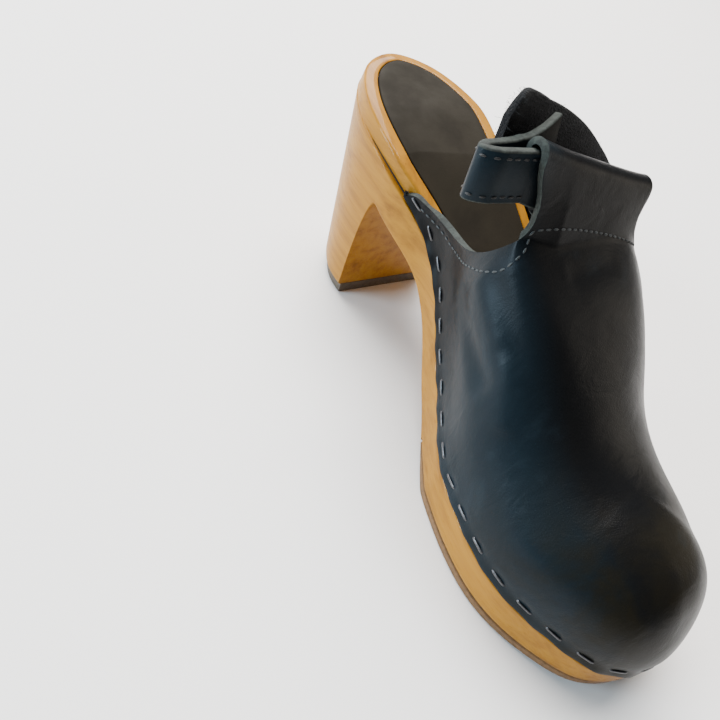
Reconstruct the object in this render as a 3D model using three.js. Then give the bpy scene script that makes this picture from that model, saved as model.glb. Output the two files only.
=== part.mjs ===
// High-heeled clog, left shoe: a carved wooden sole with an oiled leather upper set in a rebate round its edge.
// Millimetres, +Z up, the toe towards -Y. A station is the distance from the toe tip along the sole.
// The big-toe (medial) side is -X.
import * as THREE from "three";
import { mergeVertices } from "three/addons/utils/BufferGeometryUtils.js";

// Sole sizes
const soleLength = 235;
const ballWidth = 86;
const ballHeight = 25;
const heelHeight = 86;
const archHeight = 55;
const toeSpring = 6;
const rimWidth = 5.5;
const breastStation = 180;
const breastRun = 6;
const heelBackSlant = 17;
const heelSideTaper = 4.5;
const edgeRound = 1.6;

// Fittings of the sole
const fitGap = 0.3;
const sockThickness = 1.8;
const treadThickness = 3.5;
const treadEnd = 100;
const liftThickness = 5;

// Upper sizes
const leather = 2.2;
const leatherProud = 0.3;
const seatDrop = 6.5;
const seatRunOut = 40;
const toeBoxStation = 46;
const instepHeight = 95.5;
const throatStation = 112;
const throatLag = { medial: 5.5, lateral: 2 };
const wingTipStation = 169;
const wingTipRound = 5;
const ridgeShift = 14;

// The tab above the throat, folded back to hold the strap
const tabMedial = 29.5;
const tabLateral = 32;
const tabRun = 9.5;
const foldHeight = 113.9;
const foldTilt = 0.235;

// Strap sizes
const strapWidth = 15.5;
const strapThickness = 3;
const strapRise = 0.95;
const bandWidth = 22;
const bandThickness = 2.4;
const bandEndRound = 9;

// The sole from above: shares of the length, and of the ball width on each side of the centre line
const toeTipShare = -0.095;
const outlineRows = [
  { station: 0.025, medial: 0.275, lateral: 0.15 },
  { station: 0.085, medial: 0.392, lateral: 0.33 },
  { station: 0.19, medial: 0.493, lateral: 0.46 },
  { station: 0.34, medial: 0.452, lateral: 0.494 },
  { station: 0.487, medial: 0.297, lateral: 0.5 },
  { station: 0.635, medial: 0.212, lateral: 0.407 },
  { station: 0.763, medial: 0.325, lateral: 0.335 },
  { station: 0.869, medial: 0.325, lateral: 0.32 },
  { station: 0.966, medial: 0.192, lateral: 0.192 },
];

// Height of the wood's rim: shares of the rise from ball to heel
const rimRows = [
  { station: 0, rise: 0 },
  { station: 0.19, rise: -0.005 },
  { station: 0.34, rise: 0.01 },
  { station: 0.487, rise: 0.195 },
  { station: 0.635, rise: 0.6 },
  { station: 0.763, rise: 0.87 },
  { station: 0.869, rise: 0.965 },
  { station: 1, rise: 1 },
];

// Underside from the flat of the ball to the top of the arch: shares of the arch height
const flatStart = 0.15;
const archRows = [
  { station: 0.36, rise: 0 },
  { station: 0.487, rise: 0.27 },
  { station: 0.593, rise: 0.6 },
  { station: 0.678, rise: 0.83 },
  { station: 0.763, rise: 1 },
];

// How far the rim's outer edge stands inside the outline, in rim widths
const shoulderRows = [
  { station: 0, inset: 0.42 },
  { station: 0.19, inset: 0.58 },
  { station: 0.34, inset: 0.58 },
  { station: 0.5, inset: 0.45 },
  { station: 0.635, inset: 0.62 },
  { station: 0.763, inset: 0.3 },
  { station: 1, inset: 0.1 },
];

// Height of the upper's ridge line: shares of the instep height
const crownRows = [
  { station: 0, rise: 0.44 },
  { station: 0.06, rise: 0.56 },
  { station: 0.132, rise: 0.59 },
  { station: 0.196, rise: 0.6 },
  { station: 0.255, rise: 0.64 },
  { station: 0.34, rise: 0.785 },
  { station: 0.404, rise: 0.9 },
  { station: 0.451, rise: 0.965 },
  { station: 0.477, rise: 1 },
  { station: 0.54, rise: 1.13 },
];

// Top edge of the side wings behind the throat: shares of the instep height
const wingRows = [
  { station: 0.48, medial: 0.98, lateral: 0.84 },
  { station: 0.5, medial: 0.965, lateral: 0.8 },
  { station: 0.515, medial: 0.92, lateral: 0.765 },
  { station: 0.532, medial: 0.86, lateral: 0.735 },
  { station: 0.557, medial: 0.8, lateral: 0.715 },
  { station: 0.596, medial: 0.755, lateral: 0.705 },
  { station: 0.668, medial: 0.745, lateral: 0.72 },
  { station: 0.719, medial: 0.75, lateral: 0.75 },
];

// The upper's cross-section: roundness (a higher number is boxier), and how far the wall
// stands outside its lower edge at mid height, in shares of the ball width
const sectionRows = [
  { station: 0, medialRound: 3.1, lateralRound: 3.8, medialOut: 0, lateralOut: 0 },
  { station: 0.085, medialRound: 2.9, lateralRound: 1.95, medialOut: 0.01, lateralOut: 0.01 },
  { station: 0.19, medialRound: 2.5, lateralRound: 1.8, medialOut: 0.02, lateralOut: 0 },
  { station: 0.3, medialRound: 2.3, lateralRound: 2.15, medialOut: 0.03, lateralOut: 0.01 },
  { station: 0.345, medialRound: 2.6, lateralRound: 2.6, medialOut: 0.04, lateralOut: 0.03 },
  { station: 0.4, medialRound: 3.6, lateralRound: 3, medialOut: 0.05, lateralOut: 0.06 },
  { station: 0.45, medialRound: 5, lateralRound: 3.3, medialOut: 0.07, lateralOut: 0.08 },
  { station: 0.483, medialRound: 6, lateralRound: 3.4, medialOut: 0.085, lateralOut: 0.085 },
  { station: 0.54, medialRound: 6, lateralRound: 3.4, medialOut: 0.08, lateralOut: 0.085 },
  { station: 0.6, medialRound: 5, lateralRound: 3.4, medialOut: 0.03, lateralOut: 0.03 },
  { station: 0.719, medialRound: 3, lateralRound: 3, medialOut: 0, lateralOut: 0 },
];

// Middle line of the strap: across in shares of the tab's half on that side, behind in layers
// behind the tunnel, lift in shares of the strap's width
const strapRows = [
  { across: 0.75, behind: 1, lift: 0 },
  { across: 0.97, behind: 1, lift: 0 },
  { across: 1.08, behind: 0.83, lift: 0 },
  { across: 1.12, behind: 0.5, lift: 0 },
  { across: 1.08, behind: 0.17, lift: 0 },
  { across: 0.97, behind: 0, lift: 0 },
  { across: 0.5, behind: 0, lift: 0 },
  { across: 0, behind: 0, lift: 0 },
  { across: -0.55, behind: 0, lift: 0 },
  { across: -1, behind: 0, lift: 0 },
  { across: -1.25, behind: 0.1, lift: 0 },
  { across: -1.43, behind: 0.22, lift: 0 },
  { across: -1.53, behind: 0.62, lift: -0.02 },
  { across: -1.43, behind: 1, lift: -0.04 },
  { across: -1.2, behind: 1.06, lift: -0.03 },
  { across: -1, behind: 1.06, lift: 0.03 },
  { across: -0.74, behind: 1.06, lift: 0.36 },
  { across: -0.5, behind: 1.06, lift: 0.76 },
];

// Middle line of the band behind the tab, from its stitched end to its free end
const bandRows = [
  { across: 0.93, behind: 1.54, lift: -0.06 },
  { across: 0.75, behind: 1.52, lift: 0.08 },
  { across: 0.59, behind: 1.45, lift: 0.25 },
  { across: 0.25, behind: 1.46, lift: 0.55 },
  { across: 0, behind: 1.54, lift: 0.68 },
  { across: -0.34, behind: 1.7, lift: 0.74 },
  { across: -0.62, behind: 1.86, lift: 0.72 },
  { across: -0.88, behind: 1.9, lift: 0.62 },
  { across: -1.12, behind: 1.75, lift: 0.42 },
];

const { lerp, smoothstep, clamp } = THREE.MathUtils;
const share = (value, from, to) => clamp((value - from) / (to - from), 0, 1);
const spread = (from, to, count) => Array.from({ length: count + 1 }, (_, i) => lerp(from, to, i / count));

// Smooth curve through one column of a table, level where the column turns back
function tableCurve(rows, column, unit = soleLength) {
  const at = rows.map((row) => row.station * unit);
  const value = rows.map((row) => row[column]);
  const slope = value.slice(1).map((next, i) => (next - value[i]) / (at[i + 1] - at[i]));
  const tangent = value.map((_, i) => {
    const before = slope[Math.max(i - 1, 0)];
    const after = slope[Math.min(i, slope.length - 1)];
    return before * after > 0 ? (2 * before * after) / (before + after) : 0;
  });
  return (station) => {
    const s = clamp(station, at[0], at[at.length - 1]);
    const i = clamp(at.findIndex((next) => next > s) - 1, 0, at.length - 2);
    const k = s === at[at.length - 1] ? at.length - 2 : i;
    const span = at[k + 1] - at[k];
    const t = (s - at[k]) / span;
    const rest = 1 - t;
    return (1 + 2 * t) * rest * rest * value[k] + t * rest * rest * span * tangent[k]
      + t * t * (3 - 2 * t) * value[k + 1] - t * t * rest * span * tangent[k + 1];
  };
}

const rimShare = tableCurve(rimRows, "rise");
const archShare = tableCurve(archRows, "rise");
const shoulderInset = tableCurve(shoulderRows, "inset");
const rimHeight = (station) => lerp(ballHeight, heelHeight, rimShare(station));

// The outline as one closed smooth curve, read on either side at a station
const outline = readOutline();

function readOutline() {
  const corner = (sideShare, row) => new THREE.Vector3(sideShare * ballWidth, row.station * soleLength, 0);
  const lateral = outlineRows.map((row) => corner(row.lateral, row));
  const medial = outlineRows.map((row) => corner(-row.medial, row)).reverse();
  const toeTip = corner(toeTipShare, { station: 0 });
  const heelBack = corner(0, { station: 1 });
  const loop = new THREE.CatmullRomCurve3([toeTip, ...lateral, heelBack, ...medial], true, "centripetal");
  const heelAt = (lateral.length + 1) / (2 * lateral.length + 2);
  const walk = (from, to) => spread(from, to, 400).map((t) => ({ at: loop.getPoint(t), along: loop.getTangent(t) }));
  return { lateral: walk(0, heelAt), medial: walk(1, heelAt) };
}

// Place on the outline, with the direction that points inwards
function outlinePoint(side, station) {
  const points = outline[side];
  const found = points.findIndex((point) => point.at.y >= station);
  const i = found < 0 ? points.length - 1 : Math.max(found, 1);
  const before = points[i - 1];
  const t = share(station, before.at.y, points[i].at.y);
  const along = before.along.clone().lerp(points[i].along, t).normalize();
  const atTip = station <= 0 || station >= soleLength;
  const inX = atTip ? 0 : -along.y;
  const inS = atTip ? Math.sign(soleLength / 2 - station) : along.x;
  return { station, x: lerp(before.at.x, points[i].at.x, t), side: side === "medial" ? -1 : 1, inX, inS };
}

// A loop of points round the sole: up the medial side from toe to heel and back down the lateral side
function soleLoop(stations) {
  const walk = (side) => stations.map((station) => outlinePoint(side, station));
  return [...walk("medial"), ...walk("lateral").reverse()];
}

function inwards(point, inset, z) {
  return new THREE.Vector3(point.x + point.inX * inset, point.station + point.inS * inset, z);
}

function roundStations(from, to, count) {
  const turn = (station) => Math.acos(1 - (2 * station) / soleLength);
  return spread(turn(from), turn(to), count).map((angle) => (soleLength * (1 - Math.cos(angle))) / 2);
}

// Closed body from loops stacked top to bottom, both ends closed by strips from side to side
function stackedBody(loops) {
  const triangles = [];
  const half = loops[0].length / 2;
  const quad = (a, b, c, d) => triangles.push([a, b, c], [a, c, d]);
  for (let k = 0; k + 1 < loops.length; k += 1) {
    loops[k].forEach((point, i) => {
      const next = (i + 1) % loops[k].length;
      quad(point, loops[k + 1][i], loops[k + 1][next], loops[k][next]);
    });
  }
  const top = loops[0];
  const bottom = loops[loops.length - 1];
  const mate = (loop, i) => loop[loop.length - 1 - i];
  for (let i = 0; i + 1 < half; i += 1) {
    quad(top[i], top[i + 1], mate(top, i + 1), mate(top, i));
    quad(bottom[i], mate(bottom, i), mate(bottom, i + 1), bottom[i + 1]);
  }
  return weld(triangles);
}

// Shared vertices merged, collapsed triangles dropped, faces turned outwards
function weld(triangles) {
  const loose = new THREE.BufferGeometry();
  const positions = triangles.flat().flatMap((point) => [point.x, point.y, point.z]);
  loose.setAttribute("position", new THREE.Float32BufferAttribute(positions, 3));
  const merged = mergeVertices(loose, 2e-3);
  const index = merged.getIndex().array;
  const kept = [];
  for (let i = 0; i < index.length; i += 3) {
    const [a, b, c] = [index[i], index[i + 1], index[i + 2]];
    if (a !== b && b !== c && c !== a) kept.push(a, b, c);
  }
  merged.setIndex(kept);
  return merged;
}

function outwards(geometry) {
  const position = geometry.getAttribute("position");
  const index = Array.from(geometry.getIndex().array);
  const [a, b, c] = [new THREE.Vector3(), new THREE.Vector3(), new THREE.Vector3()];
  let volume = 0;
  for (let i = 0; i < index.length; i += 3) {
    a.fromBufferAttribute(position, index[i]);
    b.fromBufferAttribute(position, index[i + 1]);
    c.fromBufferAttribute(position, index[i + 2]);
    volume += a.dot(b.cross(c));
  }
  if (volume < 0) {
    for (let i = 0; i < index.length; i += 3) [index[i + 1], index[i + 2]] = [index[i + 2], index[i + 1]];
    geometry.setIndex(index);
  }
  return geometry;
}

// A sheet given its thickness: the inner face lies along the vertex normals, and every free edge is closed
function thickened(triangles, thickness) {
  const sheet = weld(triangles);
  sheet.computeVertexNormals();
  const position = sheet.getAttribute("position");
  const normal = sheet.getAttribute("normal");
  const index = sheet.getIndex().array;
  const outer = [];
  const inner = [];
  for (let i = 0; i < position.count; i += 1) {
    const point = new THREE.Vector3().fromBufferAttribute(position, i);
    const away = new THREE.Vector3().fromBufferAttribute(normal, i);
    outer.push(point);
    inner.push(point.clone().addScaledVector(away, -thickness));
  }
  const used = new Set();
  for (let i = 0; i < index.length; i += 3) {
    for (let k = 0; k < 3; k += 1) used.add(`${index[i + k]} ${index[i + ((k + 1) % 3)]}`);
  }
  const body = [];
  for (let i = 0; i < index.length; i += 3) {
    const corner = [index[i], index[i + 1], index[i + 2]];
    body.push(corner.map((v) => outer[v]), corner.map((v) => inner[v]).reverse());
    for (let k = 0; k < 3; k += 1) {
      const from = corner[k];
      const to = corner[(k + 1) % 3];
      if (used.has(`${to} ${from}`)) continue;
      body.push([outer[to], outer[from], inner[from]], [outer[to], inner[from], inner[to]]);
    }
  }
  return weld(body);
}

// Underside of the finished sole, rubber included
function underside(station) {
  const flatFrom = flatStart * soleLength;
  if (station < flatFrom) return toeSpring * (1 - station / flatFrom) ** 2;
  if (station <= breastStation) return archHeight * archShare(station);
  const along = share(station, breastStation, breastStation + breastRun);
  return archHeight * Math.sqrt(1 - along * along);
}

const treadAt = (station) => treadThickness * (1 - 0.7 * smoothstep(station, treadEnd - 14, treadEnd));

function woodUnderside(station) {
  const below = underside(station);
  if (station < treadEnd + 3 * fitGap) return below + treadAt(station) + fitGap;
  return station > breastStation ? Math.max(below, liftThickness + fitGap) : below;
}

const seatInset = (station) => {
  const full = leather + 1.5 * fitGap - leatherProud;
  return full * (1 - 0.9 * smoothstep(station, wingTipStation, wingTipStation + seatRunOut));
};
const seatHeight = (station) => rimHeight(station) - seatDrop;

// The heel narrows and slants in towards the floor; the shank's side stays upright
function flank(point, z, inset = 0) {
  const depth = share(seatHeight(point.station) - z, 0, seatHeight(point.station));
  const heel = smoothstep(point.station, breastStation - 20, breastStation);
  const behind = share(point.station, breastStation, soleLength);
  const place = inwards(point, inset, z);
  place.x -= point.side * heelSideTaper * depth * heel * Math.sqrt(1 - behind * behind);
  place.y -= heelBackSlant * depth * behind;
  return place;
}

const breastSteps = [-7, -3.5, -1, 0.8, 2.4, 3.8, 4.8, 5.5, 5.9, 6.1];
const woodStations = [
  ...roundStations(0, treadEnd, 20),
  treadEnd + 2 * fitGap,
  treadEnd + 4 * fitGap,
  ...roundStations(treadEnd + 9, breastStation - 14, 8),
  ...breastSteps.map((step) => breastStation + step),
  ...roundStations(breastStation + 12, soleLength, 14),
];

function woodenSole() {
  const loop = soleLoop(woodStations);
  const shoulder = (s) => shoulderInset(s) * rimWidth;
  const recess = (s) => rimHeight(s) - sockThickness;
  return stackedBody([
    loop.map((p) => inwards(p, shoulder(p.station) + rimWidth, recess(p.station) - 1.4 * fitGap)),
    loop.map((p) => inwards(p, shoulder(p.station) + rimWidth, rimHeight(p.station))),
    loop.map((p) => inwards(p, shoulder(p.station) + 0.6, rimHeight(p.station))),
    loop.map((p) => inwards(p, shoulder(p.station), rimHeight(p.station) - 0.6)),
    loop.map((p) => inwards(p, seatInset(p.station), seatHeight(p.station))),
    loop.map((p) => inwards(p, 0, seatHeight(p.station) - 0.2)),
    loop.map((p) => flank(p, woodUnderside(p.station) + edgeRound)),
    loop.map((p) => flank(p, woodUnderside(p.station), edgeRound)),
  ]);
}

function insoleSock() {
  const loop = soleLoop(woodStations);
  const inset = (s) => (shoulderInset(s) + 1) * rimWidth + fitGap;
  const floor = (s) => rimHeight(s) - sockThickness;
  return stackedBody([
    loop.map((p) => inwards(p, inset(p.station) + 0.5, floor(p.station) + sockThickness + 0.2)),
    loop.map((p) => inwards(p, inset(p.station), floor(p.station) + sockThickness - 0.3)),
    loop.map((p) => inwards(p, inset(p.station), floor(p.station))),
  ]);
}

function forefootTread() {
  const loop = soleLoop(roundStations(0, treadEnd, 20));
  return stackedBody([
    loop.map((p) => inwards(p, edgeRound, underside(p.station) + treadAt(p.station))),
    loop.map((p) => inwards(p, 0.2, underside(p.station) + 0.8)),
    loop.map((p) => inwards(p, 1.2, underside(p.station))),
  ]);
}

function heelLift() {
  const loop = soleLoop(roundStations(breastStation + breastRun + 0.1, soleLength, 18));
  return stackedBody([
    loop.map((p) => flank(p, liftThickness, edgeRound)),
    loop.map((p) => flank(p, 0.6, edgeRound)),
    loop.map((p) => flank(p, 0, edgeRound + 0.6)),
  ]);
}

// The upper's outer face over the last
const sectionOf = Object.fromEntries(
  ["medialRound", "lateralRound", "medialOut", "lateralOut"].map((name) => [name, tableCurve(sectionRows, name)]),
);
const crownShare = tableCurve(crownRows, "rise");
const wingShare = { medial: tableCurve(wingRows, "medial"), lateral: tableCurve(wingRows, "lateral") };
const crownHeight = (station) => instepHeight * crownShare(station);
const ridgeX = (station) => -ridgeShift * smoothstep(station, 0, throatStation);
const leatherEdge = (station) => seatHeight(station) + 3 * fitGap;

// Lower edge point of one side of the upper, with the ridge station that its section runs up to
const upperEdge = (side, station, ridge) => ({ ...outlinePoint(side, station), ridge });

// Point on the outer face: turn runs from 0 at the lower edge to 1 on the ridge
function lastPoint(edge, turn) {
  const side = edge.side < 0 ? "medial" : "lateral";
  const round = sectionOf[`${side}Round`](edge.station);
  const out = sectionOf[`${side}Out`](edge.station) * ballWidth;
  const angle = (turn * Math.PI) / 2;
  const reach = Math.cos(angle) ** (2 / round);
  const rise = Math.sin(angle) ** (2 / round);
  const foot = inwards(edge, -leatherProud, 0);
  const x = lerp(ridgeX(edge.ridge), foot.x + edge.side * out * smoothstep(rise, 0.1, 0.6), reach);
  const station = lerp(edge.ridge, foot.y, reach);
  return new THREE.Vector3(x, station, lerp(leatherEdge(edge.station), crownHeight(station), rise));
}

// The turn at which a rising measure of the outer face reaches its goal
function turnWhere(edge, measure, goal) {
  let low = 0;
  let high = 1;
  for (let k = 0; k < 30; k += 1) {
    const middle = (low + high) / 2;
    if (measure(lastPoint(edge, middle)) < goal) low = middle;
    else high = middle;
  }
  return (low + high) / 2;
}

const wingSteps = 7;
const tabSteps = 8;

// The tab: ruled from the throat up to the line where its fold starts
const throatEdge = (side) => upperEdge(side, throatStation + throatLag[side], throatStation);
const throat = { medial: throatEdge("medial"), lateral: throatEdge("lateral") };
const turnAtX = (edge, x) => turnWhere(edge, (point) => point.x * -edge.side, x * -edge.side);
const tabTurns = {
  medial: turnAtX(throat.medial, -tabMedial),
  lateral: turnAtX(throat.lateral, tabLateral),
};

function tabFoot(x) {
  const edge = x < ridgeX(throatStation) ? throat.medial : throat.lateral;
  return lastPoint(edge, turnAtX(edge, x));
}

// A place by the tab: down from the start of the fold, and behind the tab's outer face
function byTab(x, down, behind) {
  const over = clamp(x, -tabMedial, tabLateral);
  const top = new THREE.Vector3(over, throatStation + tabRun, foldHeight - foldTilt * over);
  const slope = top.clone().sub(tabFoot(over)).normalize();
  const place = top.addScaledVector(slope, -down);
  return new THREE.Vector3(x, place.y + slope.z * behind, place.z - slope.y * behind);
}

function tabLength(x) {
  return byTab(x, 0, 0).distanceTo(tabFoot(x));
}

const tunnelDepth = strapThickness + 4 * fitGap;
const foldRadius = leather + tunnelDepth / 2;
const stitchedDepth = 2 * leather + fitGap;
const layerStep = strapThickness + leather + 5 * fitGap;

function tabRows(foot) {
  const columns = foot.map((point) => point.x);
  const front = spread(1, 0, 4).slice(1).map((t) => columns.map((x) => byTab(x, tabLength(x) * t, 0)));
  const fold = spread(0, Math.PI, 8).slice(1).map((angle) => columns.map((x) => (
    byTab(x, -foldRadius * Math.sin(angle), foldRadius * (1 - Math.cos(angle)))
  )));
  const back = [0.3, 0.6, 0.88, 0.96, 1.04, 1.1].map((t) => columns.map((x) => (
    byTab(x, tabLength(x) * t, lerp(2 * foldRadius, stitchedDepth, smoothstep(t, 0.88, 1.04)))
  )));
  return [foot, ...front, ...fold, ...back];
}

function upper() {
  const triangles = [];
  const patch = (rows) => {
    for (let k = 0; k + 1 < rows.length; k += 1) {
      for (let i = 0; i + 1 < rows[k].length; i += 1) {
        const [a, b, c, d] = [rows[k][i], rows[k][i + 1], rows[k + 1][i + 1], rows[k + 1][i]];
        triangles.push([a, c, b], [a, d, c]);
      }
    }
  };
  const columnOf = (edge, side) => [
    ...spread(0, tabTurns[side], wingSteps),
    ...spread(tabTurns[side], 1, tabSteps).slice(1),
  ].map((turn) => lastPoint(edge, turn));
  const toeStations = roundStations(0, toeBoxStation, 13);
  const toe = (side) => toeStations.map((station) => columnOf(upperEdge(side, station, toeBoxStation), side));
  patch([...toe("medial").reverse(), ...toe("lateral").slice(1)]);

  const lagAt = (side, ridge) => throatLag[side] * smoothstep(ridge, toeBoxStation, throatStation);
  const ridges = roundStations(toeBoxStation, throatStation, 10);
  const vamp = (side, ridge) => columnOf(upperEdge(side, ridge + lagAt(side, ridge), ridge), side);
  patch(ridges.map((ridge) => [...vamp("medial", ridge), ...vamp("lateral", ridge).reverse().slice(1)]).reverse());

  for (const side of ["medial", "lateral"]) {
    const start = throatStation + throatLag[side];
    const wing = spread(0, Math.PI, 16).map((turn) => {
      const station = lerp(start, wingTipStation, (1 - Math.cos(turn)) / 2);
      return wingColumn(upperEdge(side, station, station - throatLag[side]), side);
    });
    patch(side === "medial" ? wing.reverse() : wing);
  }

  const tabHalf = (side) => columnOf(throat[side], side).slice(wingSteps);
  patch(tabRows([...tabHalf("medial"), ...tabHalf("lateral").reverse().slice(1)]).reverse());
  return thickened(triangles, leather);
}

// The side wall behind the throat, from its lower edge up to the wing's top edge
function wingColumn(edge, side) {
  const nearTip = share(edge.station, wingTipStation - wingTipRound, wingTipStation);
  const low = leatherEdge(edge.station);
  const top = instepHeight * wingShare[side](edge.station);
  const goal = low + (top - low) * Math.max(Math.sqrt(1 - nearTip * nearTip), 0.25);
  const atThroat = edge.station <= throat[side].station;
  const turn = atThroat ? tabTurns[side] : turnWhere(edge, (point) => point.z, goal);
  return spread(0, turn, wingSteps).map((at) => lastPoint(edge, at));
}

// A flat strip on edge along a middle line beside the tab
function ribbon(rows, width, thickness, steps, widthAt) {
  const curve = new THREE.CatmullRomCurve3(
    rows.map((row) => new THREE.Vector3(
      row.across * (row.across < 0 ? tabMedial : tabLateral),
      leather + tunnelDepth / 2 + row.behind * layerStep,
      row.lift * strapWidth,
    )),
    false,
    "centripetal",
  );
  return stackedBody(spread(0, 1, steps).map((t) => {
    const middle = curve.getPointAt(t);
    const along = curve.getTangentAt(t);
    const side = new THREE.Vector2(-along.y, along.x).normalize().multiplyScalar(thickness / 2);
    const half = (width / 2) * widthAt((1 - t) * curve.getLength());
    const centre = strapWidth / 2 - strapRise - middle.z;
    const corner = (sign, down) => byTab(middle.x + sign * side.x, centre + down, middle.y + sign * side.y);
    return [corner(1, -half), corner(1, half), corner(-1, half), corner(-1, -half)];
  }));
}

function heelStrap() {
  return ribbon(strapRows, strapWidth, strapThickness, 64, () => 1);
}

function strapBand() {
  const rounded = (toEnd) => Math.sqrt(1 - 0.75 * (1 - share(toEnd, 0, bandEndRound)) ** 2);
  return ribbon(bandRows, bandWidth, bandThickness, 28, rounded);
}

const tones = {
  wood: { color: 0xd19a55, roughness: 0.35, metalness: 0 },
  rubber: { color: 0x8a6a48, roughness: 0.8, metalness: 0 },
  lift: { color: 0x6d6256, roughness: 0.8, metalness: 0 },
  sock: { color: 0x35302a, roughness: 0.7, metalness: 0 },
  leather: { color: 0x14161a, roughness: 0.45, metalness: 0 },
  band: { color: 0x0c0d0e, roughness: 0.95, metalness: 0 },
};

const clog = new THREE.Group();
const centred = new THREE.Group();
clog.add(centred);

function addPiece(name, geometry, tone) {
  const mesh = new THREE.Mesh(outwards(geometry), new THREE.MeshStandardMaterial(tones[tone]));
  mesh.name = name;
  centred.add(mesh);
}

addPiece("wood_sole", woodenSole(), "wood");
addPiece("forefoot_tread", forefootTread(), "rubber");
addPiece("heel_lift", heelLift(), "lift");
addPiece("insole_sock", insoleSock(), "sock");
addPiece("upper", upper(), "leather");
addPiece("heel_strap", heelStrap(), "leather");
addPiece("strap_band", strapBand(), "band");

const middle = new THREE.Box3().setFromObject(centred).getCenter(new THREE.Vector3());
centred.position.set(-middle.x, -middle.y, 0);

export default clog;
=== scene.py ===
"""High-heeled wooden clog, left shoe, dressed over its construction frame.

Shoe places are (x, station, z) in millimetres: station runs from the toe tip to the heel,
the big-toe (medial) side is at negative x, and z is the height above the floor.
"""

import math
from collections import namedtuple
from types import SimpleNamespace

import bmesh
import bpy
import numpy as np
from mathutils import Matrix, Vector
from mathutils.bvhtree import BVHTree


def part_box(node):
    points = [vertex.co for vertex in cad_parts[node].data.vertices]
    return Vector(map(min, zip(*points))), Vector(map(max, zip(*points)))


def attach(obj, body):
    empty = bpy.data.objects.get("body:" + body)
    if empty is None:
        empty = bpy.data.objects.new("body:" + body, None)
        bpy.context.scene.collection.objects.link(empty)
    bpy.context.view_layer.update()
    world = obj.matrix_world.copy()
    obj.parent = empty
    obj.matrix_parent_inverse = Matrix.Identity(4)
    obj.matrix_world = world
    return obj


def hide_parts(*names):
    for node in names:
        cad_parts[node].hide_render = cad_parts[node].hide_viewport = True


bl_info = {
    "name": "Wooden Clog",
    "version": (1, 0, 0),
    "blender": (4, 5, 0),
    "location": "View3D > Sidebar > Clog",
    "description": "Builds a high-heeled wooden clog with a black leather upper",
    "category": "Object",
}

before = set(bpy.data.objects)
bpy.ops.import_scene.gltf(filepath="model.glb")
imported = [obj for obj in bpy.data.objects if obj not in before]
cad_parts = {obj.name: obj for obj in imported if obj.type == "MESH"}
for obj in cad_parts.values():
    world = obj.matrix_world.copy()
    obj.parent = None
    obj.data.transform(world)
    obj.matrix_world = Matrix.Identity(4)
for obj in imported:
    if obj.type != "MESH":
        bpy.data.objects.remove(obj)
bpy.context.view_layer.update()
WOOD_LOW, WOOD_HIGH = (np.array(corner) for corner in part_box("wood_sole"))
MM = 0.001
SIDES = {"medial": -1, "lateral": 1}

# The sole from above: shares of the length, and of the ball width on each side of the centre line
TOE_TIP_SHARE = -0.095
OUTLINE = {
    "station": (0.025, 0.085, 0.19, 0.34, 0.487, 0.635, 0.763, 0.869, 0.966),
    "medial": (0.275, 0.392, 0.493, 0.452, 0.297, 0.212, 0.325, 0.325, 0.192),
    "lateral": (0.15, 0.33, 0.46, 0.494, 0.5, 0.407, 0.335, 0.32, 0.192),
}
# Height of the wood's rim: shares of the rise from ball to heel
RIM = {
    "station": (0, 0.19, 0.34, 0.487, 0.635, 0.763, 0.869, 1),
    "rise": (0, -0.005, 0.01, 0.195, 0.6, 0.87, 0.965, 1),
}
# Underside from the flat of the ball to the top of the arch: shares of the arch height
FLAT_START = 0.15
ARCH = {"station": (0.36, 0.487, 0.593, 0.678, 0.763), "rise": (0, 0.27, 0.6, 0.83, 1)}
# How far the rim's outer edge stands inside the outline, in rim widths
SHOULDER = {
    "station": (0, 0.19, 0.34, 0.5, 0.635, 0.763, 1),
    "inset": (0.42, 0.58, 0.58, 0.45, 0.62, 0.3, 0.1),
}
# Height of the upper's ridge line: shares of the instep height
CROWN = {
    "station": (0, 0.06, 0.132, 0.196, 0.255, 0.34, 0.404, 0.451, 0.477, 0.54),
    "rise": (0.44, 0.56, 0.59, 0.6, 0.64, 0.785, 0.9, 0.965, 1, 1.13),
}
# Top edge of the side wings behind the throat: shares of the instep height
WING = {
    "station": (0.48, 0.5, 0.515, 0.532, 0.557, 0.596, 0.668, 0.719),
    "medial": (0.98, 0.965, 0.92, 0.86, 0.8, 0.755, 0.745, 0.75),
    "lateral": (0.84, 0.8, 0.765, 0.735, 0.715, 0.705, 0.72, 0.75),
}
# The upper's cross-section: roundness, and how far it stands outside its lower edge (of ball width)
SECTION = {
    "station": (0, 0.085, 0.19, 0.3, 0.345, 0.4, 0.45, 0.483, 0.54, 0.6, 0.719),
    "medial_round": (3.1, 2.9, 2.5, 2.3, 2.6, 3.6, 5, 6, 6, 5, 3),
    "lateral_round": (3.8, 1.95, 1.8, 2.15, 2.6, 3, 3.3, 3.4, 3.4, 3.4, 3),
    "medial_out": (0, 0.01, 0.02, 0.03, 0.04, 0.05, 0.07, 0.085, 0.08, 0.03, 0),
    "lateral_out": (0, 0.01, 0, 0.01, 0.03, 0.06, 0.08, 0.085, 0.085, 0.03, 0),
}
# Middle line of the strap: share of the tab's half, layers behind the tunnel, lift in strap widths
STRAP = (
    (0.75, 1, 0), (0.97, 1, 0), (1.08, 0.83, 0), (1.12, 0.5, 0), (1.08, 0.17, 0), (0.97, 0, 0),
    (0.5, 0, 0), (0, 0, 0), (-0.55, 0, 0), (-1, 0, 0), (-1.25, 0.1, 0), (-1.43, 0.22, 0),
    (-1.53, 0.62, -0.02), (-1.43, 1, -0.04), (-1.2, 1.06, -0.03), (-1, 1.06, 0.03),
    (-0.74, 1.06, 0.36), (-0.5, 1.06, 0.76),
)
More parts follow.
